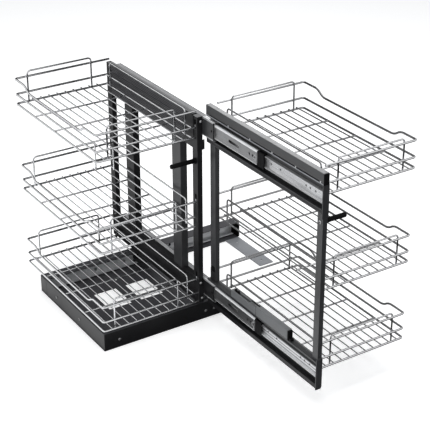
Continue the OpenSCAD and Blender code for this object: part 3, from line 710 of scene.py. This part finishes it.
def close_wire(piece, name):
    """Merges a drawn wire's bends, turns its faces outwards and shades it."""
    tidy_mesh(piece)
    smooth(piece, 50.0)
    return named(piece, name)


def model_rod(start, end, diameter, sides):
    """A straight wire with rounded ends."""
    rod = bar_between(start, end, diameter, sides)
    along = (Vector(end) - Vector(start)).normalized()
    edit(rod)
    choose(lambda face: abs(face.normal.dot(along)) > 0.9)
    bpy.ops.mesh.bevel(offset=diameter * 0.2, segments=2, affect="EDGES")
    smooth(rod, 50.0)
    return rod


# Fasteners and pegs


def model_screw(width, height):
    """A pan head with a cross recess, standing on the origin along Z."""
    rim_h, dome_h = 0.4 * height, 0.6 * height
    clear_selection()
    bpy.ops.mesh.primitive_cylinder_add(
        vertices=28, radius=width / 2, depth=rim_h, location=(0, 0, rim_h / 2))
    head = applied()
    edit(head)
    choose(lambda face: face.normal.z > 0.9)
    bpy.ops.mesh.inset(thickness=width / 6, depth=dome_h)
    arm, blade, depth = width * 0.3, width * 0.07, 0.55 * height
    cut_away(head, [
        rounded_block("recess", (-x, -y, height - depth), (x, y, height + depth), 0.02 * width, 1)
        for x, y in ((arm, blade), (blade, arm))])
    smooth(head, 30.0)
    round_edges(head, 0.12 * MM, 2, 30.0)
    return head


class CORNER_OT_fasteners(bpy.types.Operator):
    """Models the screw heads of the base, the carriage and the pull-out frame"""

    bl_idname = "corner.fasteners"
    bl_label = "Screw heads"

    def execute(self, context):
        plate_y, beam_x, post_x = -5.5, 284.7, 276
        front_wall = [(spot(x, 0, 20.7), FRONT) for x in (40, 279, 303)]
        left_wall = [(spot(0, y, 23), LEFT) for y in (128.1, 250.1)]
        self.set_heads("base_screws", front_wall + left_wall, 7 * MM, 2 * MM, "zinc-dull")
        plates = [(spot(x, plate_y, z), FRONT) for x, z in ((265, 523), (262, 106), (265, 64))]
        self.set_heads("carriage_screws", plates, 6 * MM, 2 * MM, "zinc")
        beams = [(spot(beam_x, y, z), RIGHT) for y in (-300.8, -171.2) for z in (512.5, 95.5)]
        self.set_heads("pull_screws", beams, 6 * MM, 1.8 * MM, "zinc")
        bolt = set_along(model_screw(8 * MM, 2.4 * MM), spot(post_x, -442.5, 455), LEFT)
        hand_over(named(bolt, "peg_bolt_head"), BODY_OF["right_handle_peg"], "zinc")
        return {"FINISHED"}

    def set_heads(self, node, places, width, height, finish):
        """One head for each place of a screw node, joined to stand for it."""
        head = model_screw(width, height)
        heads = [copy_of(head, f"{node}_head") for _ in places[1:]] + [head]
        for piece, (place, facing) in zip(heads, places):
            set_along(piece, place, facing)
        hand_over(join(heads, f"{node}_heads"), BODY_OF[node], "zinc", [node], finish)


class CORNER_OT_pegs(bpy.types.Operator):
    """Turns the two handle pegs"""

    bl_idname = "corner.pegs"
    bl_label = "Handle pegs"

    def execute(self, context):
        self.turn_peg("left_handle_peg", high("left_handle_peg").x, LEFT)
        self.turn_peg("right_handle_peg", low("right_handle_peg").x, RIGHT)
        return {"FINISHED"}

    def turn_peg(self, node, root_x, facing):
        """A peg with a collar, a groove behind it and a ring before its rounded tip."""
        root = (low(node) + high(node)) / 2
        root.x = root_x
        length = size_of(node).x
        collar, shaft, groove, tip_r = 7.5, 5.5, 5.2, 3.0
        quarter = [i * math.pi / 12 for i in range(7)]
        tip = [(shaft - tip_r + tip_r * math.cos(a), length - tip_r + tip_r * math.sin(a)) for a in quarter]
        collar_rows = [(0, 0), (collar - 0.4, 0), (collar, 0.4), (collar, 2.4), (collar - 0.5, 3.0)]
        groove_rows = [(groove, 3.0), (groove, 4.6), (shaft, 5.0)]
        ring = [(shaft, 9), (groove, 8.7), (groove, 7.9), (shaft, 7.6)]
        ring_rows = [(r, length - from_tip) for r, from_tip in ring]
        peg = turned(collar_rows + groove_rows + ring_rows + tip + [(0, length)], f"{node}_turned")
        hand_over(set_along(peg, root, facing), BODY_OF[node], "black_plastic", [node])


# Frames and sheet parts


# The lip's black coat is painted shade.
LIP = 13 * MM  # height of the dark lip at the foot of a pull-out beam


class CORNER_OT_pull_frame(bpy.types.Operator):
    """Finishes the pull-out frame: grooved top bar, lips darkened with painted shade, trim with painted
    highlights, damper ends and post clip
    """

    bl_idname = "corner.pull_frame"
    bl_label = "Pull-out frame"

    def execute(self, context):
        edges = context.scene.corner_edges
        corners = span_corners("pull_upper_beam", ((-1, 3.5), (15, 423), (67.6, 70.2)))
        groove = rounded_block("groove", *corners, 0.05 * MM)
        self.part_lip(edges, "pull_upper_beam", "pull_upper_lip", [groove])
        self.add_lip_highlights()
        self.part_lip(edges, "pull_lower_beam", "pull_lower_lip")
        self.add_bar_trim()
        self.add_damper_ends()
        self.add_post_clip()
        return {"FINISHED"}

    def part_lip(self, edges, node, lip_name, cuts=()):
        """A beam with rounded edges, its lip parted off to take the black coat as painted shade."""
        beam = rounded_copy(node, edges.sheet, edges.steps, cuts)
        lip = part_off(beam, lip_name, low(node) + Vector((0, 0, LIP)), UP)
        hand_over(beam, BODY_OF[node], "powder_grey", [node])
        # painted shade: the lip takes the black coat
        hand_over(lip, BODY_OF[node], "powder_black")

    def add_lip_highlights(self):
        """Two thin grey strips along the upper lip, painted highlights on its edges."""
        node = "pull_upper_beam"
        length = size_of(node).y
        for name, z in (("pull_upper_lip_bead", (8.4, 10.2)), ("pull_upper_lip_edge", (0.6, 2.0))):
            # painted highlights: grey strips on the lip's edges
            fit_blocks(name, node, "powder_grey", [((-0.5, 0.5), (3, length), z)], 0.4)

    def add_bar_trim(self):
        """A light bead that is a painted highlight on the bar's lower edge, a ledge, a dull zinc plate that
        is painted light on the lit top face, and small tabs on the top bar.
        """
        node = "pull_upper_beam"
        width, length, height = size_of(node)
        # painted highlight along the bar's lower edge
        fit_blocks("pull_bar_bead", node, "powder_grey", [((-0.7, 0.5), (0, length), (65.1, 67.3))], 0.4,
                   "powder_light")
        fit_blocks("pull_bar_ledge", node, "powder_grey", [((7.7, 11.2), (3, length - 3), (58.4, 65.0))], 0.5)
        # painted light: a dull zinc plate stands in for the light the bar's top face catches
        top = ((1.3, width - 0.5), (2, length - 2), (height - 0.1, height + 0.3))
        fit_blocks("pull_bar_top_face", node, "powder_grey", [top], 0.15, "zinc-dull")
        tabs = [((-0.6, 0.6), (y - 1.6, y + 1.6), (65.6, 71.4)) for y in (346, 262, 179, 95, 10)]
        fit_blocks("pull_bar_tabs", node, "zinc", tabs, 0.35)

    def add_damper_ends(self):
        """A cap and a foot on the damper's front, a seam round it and the tail of its slot."""
        node = "damper_housing"
        width, _, height = size_of(node)
        cap = ((0.3, width - 0.3), (-4, 0), (0, height - 1.5))
        foot = ((2, width - 2.2), (-12, -3), (0, 5.5))
        fit_blocks("damper_front_end", node, "black_plastic", [cap, foot], 1.0)
        seam = ((-0.2, width - 0.1), (121.6, 122.4), (0.5, height + 0.15))
        tail = ((4.7, 8.5), (114, 148), (height - 0.1, height + 0.15))
        fit_blocks("damper_seams", node, "black_plastic", [seam, tail], 0.1)

    def add_post_clip(self):
        """A dark sleeve and a clip at the foot of the rear post."""
        node = "pull_rear_post"
        sleeve = ((-0.6, 0.2), (0, size_of(node).y), (64, 100))
        fit_blocks("pull_rear_post_sleeve", node, "powder_black", [sleeve], 0.3)
        fit_blocks("pull_rear_post_clip", node, "black_plastic", [((-1.1, 0.2), (3, 17), (93, 106))], 0.5)


class CORNER_OT_carriage_trim(bpy.types.Operator):
    """Adds light strips on top of the carriage frame, painted light on its lit top faces, a black block of
    painted shade in the post's top slot, and the gusset's ear
    """

    bl_idname = "corner.carriage_trim"
    bl_label = "Carriage trim"

    def execute(self, context):
        beam, post = "upper_beam", "front_slotted_post"
        top = size_of(beam).z
        # painted light: dull zinc strips stand in for the light on the beam's top
        strips = [(x, (2, 399), (top - 0.2, top + 0.6)) for x in ((0.6, 5.2), (6.0, 12.6))]
        fit_blocks("upper_beam_top_strips", beam, "zinc", strips, 0.3, "zinc-dull")
        top = size_of(post).z
        # painted light: a dull zinc plate stands in for the light on the post's top
        post_top_highlight = ((-1.2, 12.8), (-1.2, 16), (top - 0.2, top + 0.9))
        fit_blocks("front_post_top_cover", post, "zinc", [post_top_highlight], 0.4, "zinc-dull")
        # painted shade: a black block stands in for the dark opening of the hook slot
        mouth = ((1, 11), (16.4, 23.4), (top - 0.2, top + 0.4))
        fit_blocks("front_post_top_slot", post, "black_plastic", [mouth], 0.25)
        ear = ((12.5, 19.9), (0, 1.5), (2, 26.4))
        fit_blocks("front_gusset_ear", "front_gusset", "powder_black", [ear], 0.4)
        return {"FINISHED"}


# How the names of nodes end that other steps model, and of the ball cages, which keep their CAD shape
OTHER_STEPS = ("_screws", "_peg", "_slide_middle", "_rim", "_floor", "pull_upper_beam", "pull_lower_beam",
               "_cage")
OWN_FINISH = {
    "front_rail_outer": "zinc-lit_across",
    "front_rail_middle": "zinc-lit_across",
    "front_rail_inner": "zinc-lit_across",
    "rear_rail_outer": "zinc-lit_across",
    "rear_rail_runner": "zinc-lit_across",
    "base_pan": "powder_black-lit_top",
    "rear_channel": "powder_black-lit_top",
    "floor_strip": "powder_light",
    "lower_slide_inner": "zinc-groove_shaded",
    "rear_wide_post": "powder_black",
    "upper_beam": "powder_black-rib_highlights",
}


class CORNER_OT_sheet_parts(bpy.types.Operator):
    """Rounds the folded sheet, tube and slide parts"""

    bl_idname = "corner.sheet_parts"
    bl_label = "Sheet and slide parts"

    def execute(self, context):
        edges = context.scene.corner_edges
        widths = {"powder_black": edges.sheet, "powder_grey": edges.sheet, "zinc": edges.gauge,
                  "black_plastic": edges.moulding, "grey_plastic": edges.moulding}
        for node in frame["nodes"]:
            if not node.endswith(OTHER_STEPS):
                slot = SLOT_OF[node]
                piece = rounded_copy(node, widths[slot], edges.steps)
                hand_over(piece, BODY_OF[node], slot, [node], OWN_FINISH.get(node))
        for node, source in frame["nodes"].items():
            if not source.hide_render:
                source.data.materials.clear()
                source.data.materials.append(finish_named(SLOT_OF[node]))
        self.shade_channel_end()
        return {"FINISHED"}

    def shade_channel_end(self):
        """A black plate in the left end of the rear channel, painted shade of its dark end."""
        node = "rear_channel"
        _, depth, height = size_of(node)
        wall = 2.1  # clear of the channel's own sheet
        plate = ((0, 1.2), (0.3, depth - wall), (wall, height - wall))
        # painted shade in the channel's end
        fit_blocks("rear_channel_left_end", node, "powder_black", [plate], 0.3)


# Slides


# Upper half of the middle member's section: right from the outer member's left face, up from the middle
MIDDLE_HALF = [(10.5, 14.6), (10.5, 17.3), (5.6, 17.3), (4.2, 17.0), (3.0, 16.1), (2.3, 14.9), (2.1, 13.5),
               (2.1, 11.8), (3.4, 10.3), (3.4, 8.0)]
WEB = 3.4  # how far right of that face the middle member's web stands
# Bands of that section given painted highlights: its shoulder and two ledges
HIGHLIGHT_BANDS = (
    [(5.6, 18.0), (4.1, 17.7), (2.6, 16.6), (1.75, 15.1), (1.5, 13.6)],
    [(1.55, -11.7), (2.95, -10.1)],
    [(1.75, -15.1), (1.5, -13.8)],
)
# Bends of the retainer, back from the front end and up from the middle
RETAINER = [(4, -12.5), (4, -5), (11, -5), (11, 4), (3, 4), (3, 11.5), (9, 11.5)]


class CORNER_OT_slides(bpy.types.Operator):
    """Rolls the middle members of the pull-out slides and fits their small parts"""

    bl_idname = "corner.slides"
    bl_label = "Pull-out slides"

    def execute(self, context):
        # The middle members' zinc is darkened as painted shade: somewhat on the upper one, deeply on the
        # lower one.
        for level, finish, plate_slot in (
                ("upper", "zinc-dim_shade", "powder_grey"), ("lower", "zinc-shade", "powder_black")):
            outer, middle = f"{level}_slide_outer", f"{level}_slide_middle"
            lowest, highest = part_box(middle)
            # The front end of the middle member, on its middle line and on the outer member's left face
            front = Vector((low(outer).x, lowest.y, (lowest.z + highest.z) / 2))
            self.roll_middle(middle, front, highest.y, finish)
            self.polish_tracks(middle, front, highest.y)
            self.fit_front_plate(level, outer, plate_slot)
            self.fit_retainer(level, middle, front)
        return {"FINISHED"}

    def roll_middle(self, node, front, back_y, finish):
        """The middle member: round shoulders, a sunken web, a slot and two holes."""
        section = MIDDLE_HALF + [(u, -v) for u, v in reversed(MIDDLE_HALF)]
        points = [(front.x + u * MM, front.z + v * MM) for u, v in section]
        piece = rolled_sheet(points, front.y, back_y, 1.2 * MM)
        cuts = [hole_tool(front + Vector((WEB, y, 0)) * MM, 6 * MM, 6 * MM) for y in (18, 30)]
        cuts.append(slot_tool(front + Vector((0, 70, -3.5)) * MM, front + Vector((7, 112, 3.5)) * MM))
        cut_away(piece, cuts)
        smooth(piece, 40.0)
        round_edges(piece, 0.25 * MM, 2, 50.0)
        hand_over(named(piece, f"{node}_rolled"), BODY_OF[node], "zinc", [node], finish)

    def polish_tracks(self, node, front, back_y):
        """Thin light strips on the middle member's shoulder and ledges: painted highlights."""
        inset = 0.4 * MM
        strips = [rolled_sheet([(front.x + u * MM, front.z + v * MM) for u, v in band],
                               front.y + inset, back_y - inset, 0.2 * MM) for band in HIGHLIGHT_BANDS]
        piece = join(strips, f"{node}_tracks")
        smooth(piece, 40.0)
        hand_over(piece, BODY_OF[node], "zinc", finish="zinc-highlight")

    def fit_front_plate(self, level, outer, plate_slot):
        """A plate on the front of the outer member with a black disc of painted shade in its hole, a black
        strip of painted shade along the member's top, a light strip of painted highlight on its flange, and
        an end strip.
        """
        width, length, height = size_of(outer)
        hole_centre = low(outer) + Vector((0, 10.35, height / 2)) * MM
        plate = ((-0.7, 0), (3, 48), (3, height - 4))
        hole = hole_tool(hole_centre, 6.4 * MM, 4 * MM)
        fit_blocks(f"{level}_slide_plate", outer, plate_slot, [plate], 0.25, cuts=[hole])
        # painted shade: a black disc makes the hole read dark
        hole_shade = turned([(0, 0), (3.0, 0), (3.0, 0.3), (1.2, 0.1), (0, 0.1)], f"{level}_slide_plate_rivet", 24)
        set_along(hole_shade, hole_centre - Vector((0.05, 0, 0)) * MM, LEFT)
        hand_over(hole_shade, BODY_OF[outer], "black_plastic")
        # painted shade: a black strip along the outer member's top
        lip = ((width - 1.5, width - 0.1), (3, length - 1), (height - 0.1, height + 0.25))
        fit_blocks(f"{level}_slide_outer_lip", outer, "powder_black", [lip], 0.12)
        # painted highlight: a bright strip on the outer member's top flange
        flange_highlight = ((0.4, 3.4), (0.4, 47), (height - 0.1, height + 0.3))
        fit_blocks(f"{level}_slide_flange_track", outer, "zinc", [flange_highlight], 0.15, "zinc-highlight")
        strip = ((-1.2, 0), (-0.6, 3), (1, height - 1))
        fit_blocks(f"{level}_slide_end_strip", outer, "black_plastic", [strip], 0.5)

    def fit_retainer(self, level, node, front):
        """A bent wire retainer on the front end of the middle member."""
        piece = open_wire()
        draw_wire([front + Vector((2.25, y, z)) * MM for y, z in RETAINER], 2.0 * MM, 1.3 * MM, 8)
        hand_over(close_wire(piece, f"{level}_slide_retainer"), BODY_OF[node], "zinc")


# Baskets


HOOK_T = 2.4 * MM  # how far a hook plate stands past the rails' ends
BAR_GAP = 0.1 * MM  # between a floor bar's end and the rail
GRILLE_INSET = 0.5 * MM  # from the rail's outer side to a floor wire's end
WELD = 0.6 * MM  # how deep crossing wires are pressed together


def draw_dipped_rail(sizes, end_x, depth, z):
    """The top rail: level round the corners, with a dip between two ramps along the outer side."""
    r = sizes.rail / 2
    ramp_at, ramp_cos = 44 * MM, 0.8
    angle = math.acos(ramp_cos)
    radius = sizes.dip / (2 * (1 - ramp_cos))
    ramp_len = 2 * radius * math.sin(angle)
    pen = WirePen((end_x, r, z), LEFT, sizes.rail)
    pen.run(end_x - r - sizes.corner)
    pen.turn(DOWN, math.pi / 2, sizes.corner)
    pen.run(ramp_at - pen.at.y)
    pen.turn(LEFT, angle, radius)
    pen.turn(RIGHT, angle, radius)
    pen.run(depth - 2 * (ramp_at + ramp_len))
    pen.turn(RIGHT, angle, radius)
    pen.turn(LEFT, angle, radius)
    pen.run(depth - r - sizes.corner - pen.at.y)
    pen.turn(DOWN, math.pi / 2, sizes.corner)
    pen.run(end_x - pen.at.x)


def model_rim(name, width, depth, end_x, loop_rise, hoop_rise, hooks):
    """Rails, loops and hooks of a basket, its outer side at x = 0 and its lowest rail at z = 0."""
    sizes = bpy.context.scene.corner_wires
    r = sizes.rail / 2
    leg_y = sizes.rail + sizes.loop / 2 - WELD
    inner_x = width - r
    leg_x = inner_x - sizes.loop + WELD
    x0, x1 = 33 * MM, 204 * MM  # legs of the loops at the front and the back
    y0, y1 = 28 * MM, depth - 28 * MM  # legs of the hoop along the inner side
    piece = open_wire()
    for z in (0.0, sizes.middle_rise):
        rail = [(end_x, r, z), (r, r, z), (r, depth - r, z), (end_x, depth - r, z)]
        draw_wire(rail, sizes.corner, sizes.rail)
    draw_dipped_rail(sizes, end_x, depth, sizes.top_rise)
    for y in (leg_y, depth - leg_y):
        loop = [(x0, y, 0), (x0, y, loop_rise), (x1, y, loop_rise), (x1, y, 0)]
        draw_wire(loop, sizes.bend, sizes.loop)
    hoop = [(leg_x, y0, 0), (leg_x, y0, hoop_rise), (leg_x, y1, hoop_rise), (leg_x, y1, 0)]
    draw_wire(hoop, sizes.bend, sizes.loop)
    for z in (0.0, sizes.middle_rise):
        draw_wire([(inner_x, r, z), (inner_x, depth - r, z)], sizes.bend, sizes.loop)
    close_wire(piece, name)
    return join([piece] + [rounded_block("hook", *hook, 0.5 * MM) for hook in hooks], name)


def model_floor(name, width, depth):
    """Floor grille of a basket: a row of wires on three cross bars."""
    sizes = bpy.context.scene.corner_wires
    z = sizes.rail / 2 + sizes.grille / 2 + 0.1 * MM
    bar_z = z - sizes.grille / 2 - sizes.loop / 2 + WELD
    count = int((width - 2 * sizes.rail - sizes.grille) / sizes.pitch)
    ends = ((sizes.pitch, GRILLE_INSET, z), (sizes.pitch, depth - GRILLE_INSET, z))
    wire = model_rod(*ends, sizes.grille, 10)
    repeat(wire, count, (sizes.pitch, 0, 0))
    bar_in = sizes.rail + BAR_GAP
    bar = model_rod((bar_in, depth / 4, bar_z), (width - bar_in, depth / 4, bar_z), sizes.loop, 12)
    repeat(bar, 3, (0, depth / 4, 0))
    return join([wire, bar], name)


def mirror_to(piece, x):
    """Mirrors a piece's mesh in X about the origin, moves it to x and turns its faces outwards."""
    piece.data.transform(Matrix.Translation((x, 0, 0)) @ Matrix.Scale(-1, 4, RIGHT))
    tidy_mesh(piece)
    smooth(piece, 50.0)


class CORNER_OT_baskets(bpy.types.Operator):
    """Models the six wire baskets"""

    bl_idname = "corner.baskets"
    bl_label = "Wire baskets"

    def execute(self, context):
        sizes = context.scene.corner_wires
        for tier in ("bottom", "middle", "top"):
            hook_z = sizes.middle_rise if tier == "top" else sizes.top_rise
            self.model_basket("left", tier, sizes.left_loop_rise, sizes.top_rise, (5.5, 411), hook_z)
        for tier in ("bottom", "middle", "top"):
            hook_z = 0.0 if tier == "top" else sizes.top_rise
            hoop_rise = sizes.top_rise - 6 * MM
            self.model_basket("right", tier, sizes.right_loop_rise, hoop_rise, (1.5, 399.5), hook_z)
        return {"FINISHED"}

    def model_basket(self, side, tier, loop_rise, hoop_rise, hooks_y, hook_z):
        """A basket's rim and floor, in the size of their CAD nodes."""
        sizes = bpy.context.scene.corner_wires
        rim_node, floor_node = f"{side}_{tier}_rim", f"{side}_{tier}_floor"
        grille = size_of(floor_node) * MM
        width = grille.x + 2 * (sizes.rail + BAR_GAP)
        depth = grille.y + 2 * GRILLE_INSET
        end_x = size_of(rim_node).x * MM - HOOK_T
        near = Vector((end_x - WELD, 0, hook_z - 5 * MM))
        far = Vector((end_x + HOOK_T, 0, hook_z + 5 * MM))
        hooks = [(near + Vector((0, y - 2, 0)) * MM, far + Vector((0, y + 2, 0)) * MM) for y in hooks_y]
        rim = model_rim(f"{rim_node}_wire", width, depth, end_x, loop_rise, hoop_rise, hooks)
        floor = model_floor(f"{floor_node}_wire", width, depth)
        place = low(floor_node) + Vector((0, -GRILLE_INSET, 0.8 * MM))
        place.x = low(rim_node).x if side == "left" else 0.0
        for piece, node in ((rim, rim_node), (floor, floor_node)):
            if side == "right":
                mirror_to(piece, high(rim_node).x)
            piece.data.transform(Matrix.Translation(place))
            hand_over(piece, BODY_OF[node], "chrome", [node])


# Stage


# Camera fitted to straight edges of the photograph: lens in millimetres, place in metres, two of its axes
LENS, SENSOR = 108.62, 36.0
CAMERA_PLACE = (-1.26869, -2.45654, 1.65946)
CAMERA_RIGHT, CAMERA_UP = Vector((0.84203, -0.53942, -0.00243)), Vector((0.24647, 0.38073, 0.89124))
WHITE = (1.0, 1.0, 1.0, 1.0)
FLOOR_GLOW = 0.42  # makes the floor white where the camera and polished metal see it
# Places of the flags in metres
FLAG_Z, TALL = -0.1 * MM, 3.0  # just above the floor, and the height of the tall ones
FRONT_Y, BACK_Y, WIDE = -0.62, 1.5, 2.6  # just in front of the fitting, far behind, and to the sides
SIDE_X, RIGHT_X = 0.1805, 0.49  # right of the pull-out frame, and right of the baskets
SIDE_SPLIT_Y = -0.15  # in front of it, the side flag is clear from behind
# Floor flags: lowest and highest X and Y
FLOOR_FLAGS = {
    "front": ((-WIDE, WIDE), (-WIDE, FRONT_Y)),
    "front_right": ((0.14, WIDE), (FRONT_Y, -0.26)),
    "under": ((-0.15, WIDE), (-0.26, -0.17)),
    "right": ((-0.112, WIDE), (-0.17, 0.2)),
    "back_right": ((-0.05, WIDE), (0.2, BACK_Y)),
    "left": ((-WIDE, -0.8), (FRONT_Y, BACK_Y)),
    "back": ((-0.8, -0.05), (1.1, BACK_Y)),
}


def seen_rays(tree, strength):
    """A strength for camera, glossy and transmission rays, and nothing for the rest."""
    path = put(tree, "ShaderNodeLightPath").outputs
    seen = maths(tree, "MAXIMUM", path["Is Camera Ray"], path["Is Glossy Ray"])
    seen = maths(tree, "MAXIMUM", seen, path["Is Transmission Ray"])
    return maths(tree, "MULTIPLY", seen, strength)


class CORNER_OT_stage(bpy.types.Operator):
    """Sets the camera, the floor, the lamps, the flags and the light all round"""

    bl_idname = "corner.stage"
    bl_label = "Camera and studio"

    def execute(self, context):
        light = context.scene.corner_light
        context.scene.view_settings.view_transform = "Standard"
        self.add_camera(context.scene)
        self.add_floor(light)
        self.add_lamp("Overhead", (0.1, -0.3, 2.6), (0.15, -0.05, 0.3), 2.2, light.key)
        self.add_lamp("Left fill", (-2.2, -1.0, 1.3), (0.1, -0.05, 0.3), 1.4, light.fill)
        self.add_lamp("Back rim", (1.25, 1.5, 1.6), (0.15, -0.2, 0.5), 1.0, light.rim, True)
        self.add_flags()
        self.add_world(context.scene, light)
        return {"FINISHED"}

    def add_camera(self, scene):
        """The photograph's view."""
        data = bpy.data.cameras.new("Camera")
        data.lens, data.sensor_width = LENS, SENSOR
        data.clip_start, data.clip_end = 0.05, 100.0
        camera = bpy.data.objects.new("Camera", data)
        back = CAMERA_RIGHT.cross(CAMERA_UP).normalized()
        axes = Matrix((CAMERA_RIGHT, back.cross(CAMERA_RIGHT).normalized(), back)).transposed()
        camera.matrix_world = Matrix.Translation(CAMERA_PLACE) @ axes.to_4x4()
        scene.collection.objects.link(camera)
        scene.camera = camera

    def add_floor(self, light):
        """A wide pale floor that keeps the shadow."""
        clear_selection()
        bpy.ops.mesh.primitive_circle_add(
            vertices=96, radius=light.floor_size, fill_type="NGON",
            location=(0, 0, low("base_pan").z - 0.2 * MM))
        floor = named(applied(), "Studio_floor")
        material, tree = blank_material("Studio floor")
        paint = put(tree, "ShaderNodeBsdfDiffuse", {"Color": (*light.floor, 1.0)})
        glow = put(tree, "ShaderNodeEmission", {"Color": WHITE, "Strength": seen_rays(tree, FLOOR_GLOW)})
        both = put(tree, "ShaderNodeAddShader", {0: paint.outputs[0], 1: glow.outputs[0]})
        put(tree, "ShaderNodeOutputMaterial", {"Surface": both.outputs[0]})
        floor.data.materials.append(material)

    def add_lamp(self, name, place, target, size, power, mirrored=False):
        """A square soft lamp, which shows in polished metal only if it is mirrored."""
        data = bpy.data.lights.new(name, "AREA")
        data.shape, data.size, data.energy = "SQUARE", size, power
        lamp = bpy.data.objects.new(name, data)
        lamp.location = place
        lamp.rotation_euler = (Vector(target) - Vector(place)).to_track_quat("-Z", "Y").to_euler()
        lamp.visible_camera, lamp.visible_glossy = False, mirrored
        bpy.context.scene.collection.objects.link(lamp)

    def add_flags(self):
        """Flags on the floor, behind, beside the pull-out frame and right of the baskets."""
        for side, ((x0, x1), (y0, y1)) in FLOOR_FLAGS.items():
            self.add_flag(f"Studio_floor_flag_{side}", (x0, y0, FLAG_Z), (x1, y1, FLAG_Z))
        self.add_flag("Studio_back_flag", (-0.2, BACK_Y, 0.0), (1.0, BACK_Y, TALL))
        self.add_flag("Studio_side_flag", (SIDE_X, SIDE_SPLIT_Y, 0.0), (SIDE_X, BACK_Y, TALL), tone=0.06)
        self.add_flag("Studio_right_flag", (RIGHT_X, FRONT_Y, 0.0), (RIGHT_X, BACK_Y, 0.75), tone=0.36)
        self.add_flag("Studio_front_side_flag", (SIDE_X, -0.6, 0.0), (SIDE_X, SIDE_SPLIT_Y, TALL),
                      tone=0.16, one_sided=True)

    def add_flag(self, name, lowest, highest, tone=0.005, one_sided=False):
        """A dark flag that only polished metal sees, clear from behind when it is one-sided."""
        lowest, highest = Vector(lowest), Vector(highest)
        span = highest - lowest
        if span.z == 0.0:
            turn, size = (0, 0, 0), (span.x, span.y, 1.0)
        elif span.y == 0.0:
            turn, size = (math.pi / 2, 0, 0), (span.x, span.z, 1.0)
        else:
            turn, size = (0, math.pi / 2, 0), (span.z, span.y, 1.0)
        clear_selection()
        bpy.ops.mesh.primitive_plane_add(size=1.0, location=(lowest + highest) / 2, rotation=turn)
        bpy.context.object.scale = size
        flag = named(applied(), name)
        for ray in ("camera", "diffuse", "transmission", "shadow", "volume_scatter"):
            setattr(flag, f"visible_{ray}", False)
        material, tree = blank_material(name.replace("_", " "))
        cloth = put(tree, "ShaderNodeEmission", {"Color": WHITE, "Strength": tone}).outputs[0]
        if one_sided:
            behind = put(tree, "ShaderNodeNewGeometry").outputs["Backfacing"]
            clear = put(tree, "ShaderNodeBsdfTransparent", {"Color": WHITE}).outputs[0]
            cloth = put(tree, "ShaderNodeMixShader", {0: behind, 1: cloth, 2: clear}).outputs[0]
        put(tree, "ShaderNodeOutputMaterial", {"Surface": cloth})
        flag.data.materials.append(material)

    def add_world(self, scene, light):
        """Soft light all round, seen as white."""
        world = bpy.data.worlds.new("Studio")
        world.use_nodes = True
        tree = world.node_tree
        tree.nodes.clear()
        soft = {"Color": (0.95, 0.97, 1.0, 1.0), "Strength": light.surround}
        around = put(tree, "ShaderNodeBackground", soft).outputs[0]
        white = put(tree, "ShaderNodeBackground", {"Color": WHITE, "Strength": 1.0}).outputs[0]
        mix = put(tree, "ShaderNodeMixShader", {0: seen_rays(tree, 1.0), 1: around, 2: white})
        put(tree, "ShaderNodeOutputWorld", {"Surface": mix.outputs[0]})
        scene.world = world


# Add-on


class CORNER_PT_panel(bpy.types.Panel):
    """Lists the steps that model the fitting"""

    bl_idname = "CORNER_PT_panel"
    bl_label = "Corner pull out"
    bl_space_type = "VIEW_3D"
    bl_region_type = "UI"
    bl_category = "Corner"

    def draw(self, context):
        for step in STEPS:
            self.layout.operator(step.bl_idname)


STEPS = (CORNER_OT_stage, CORNER_OT_sheet_parts, CORNER_OT_carriage_trim, CORNER_OT_pull_frame,
         CORNER_OT_slides, CORNER_OT_fasteners, CORNER_OT_pegs, CORNER_OT_baskets)
SETTINGS = {"corner_wires": WireSizes, "corner_colours": FinishColours, "corner_edges": EdgeSizes,
            "corner_light": StudioLight}


def register():
    """Registers the settings, the steps and the panel."""
    for cls in (*SETTINGS.values(), *STEPS, CORNER_PT_panel):
        bpy.utils.register_class(cls)
    for name, cls in SETTINGS.items():
        setattr(bpy.types.Scene, name, PointerProperty(type=cls))


def unregister():
    """Takes the settings, the steps and the panel away."""
    for name in SETTINGS:
        delattr(bpy.types.Scene, name)
    for cls in reversed((*SETTINGS.values(), *STEPS, CORNER_PT_panel)):
        bpy.utils.unregister_class(cls)


def main():
    """Models everything in order."""
    register()
    bpy.ops.corner.stage()
    bpy.ops.corner.sheet_parts()
    bpy.ops.corner.carriage_trim()
    bpy.ops.corner.pull_frame()
    bpy.ops.corner.slides()
    bpy.ops.corner.fasteners()
    bpy.ops.corner.pegs()
    bpy.ops.corner.baskets()
    clear_selection()


if __name__ == "__main__":
    main()
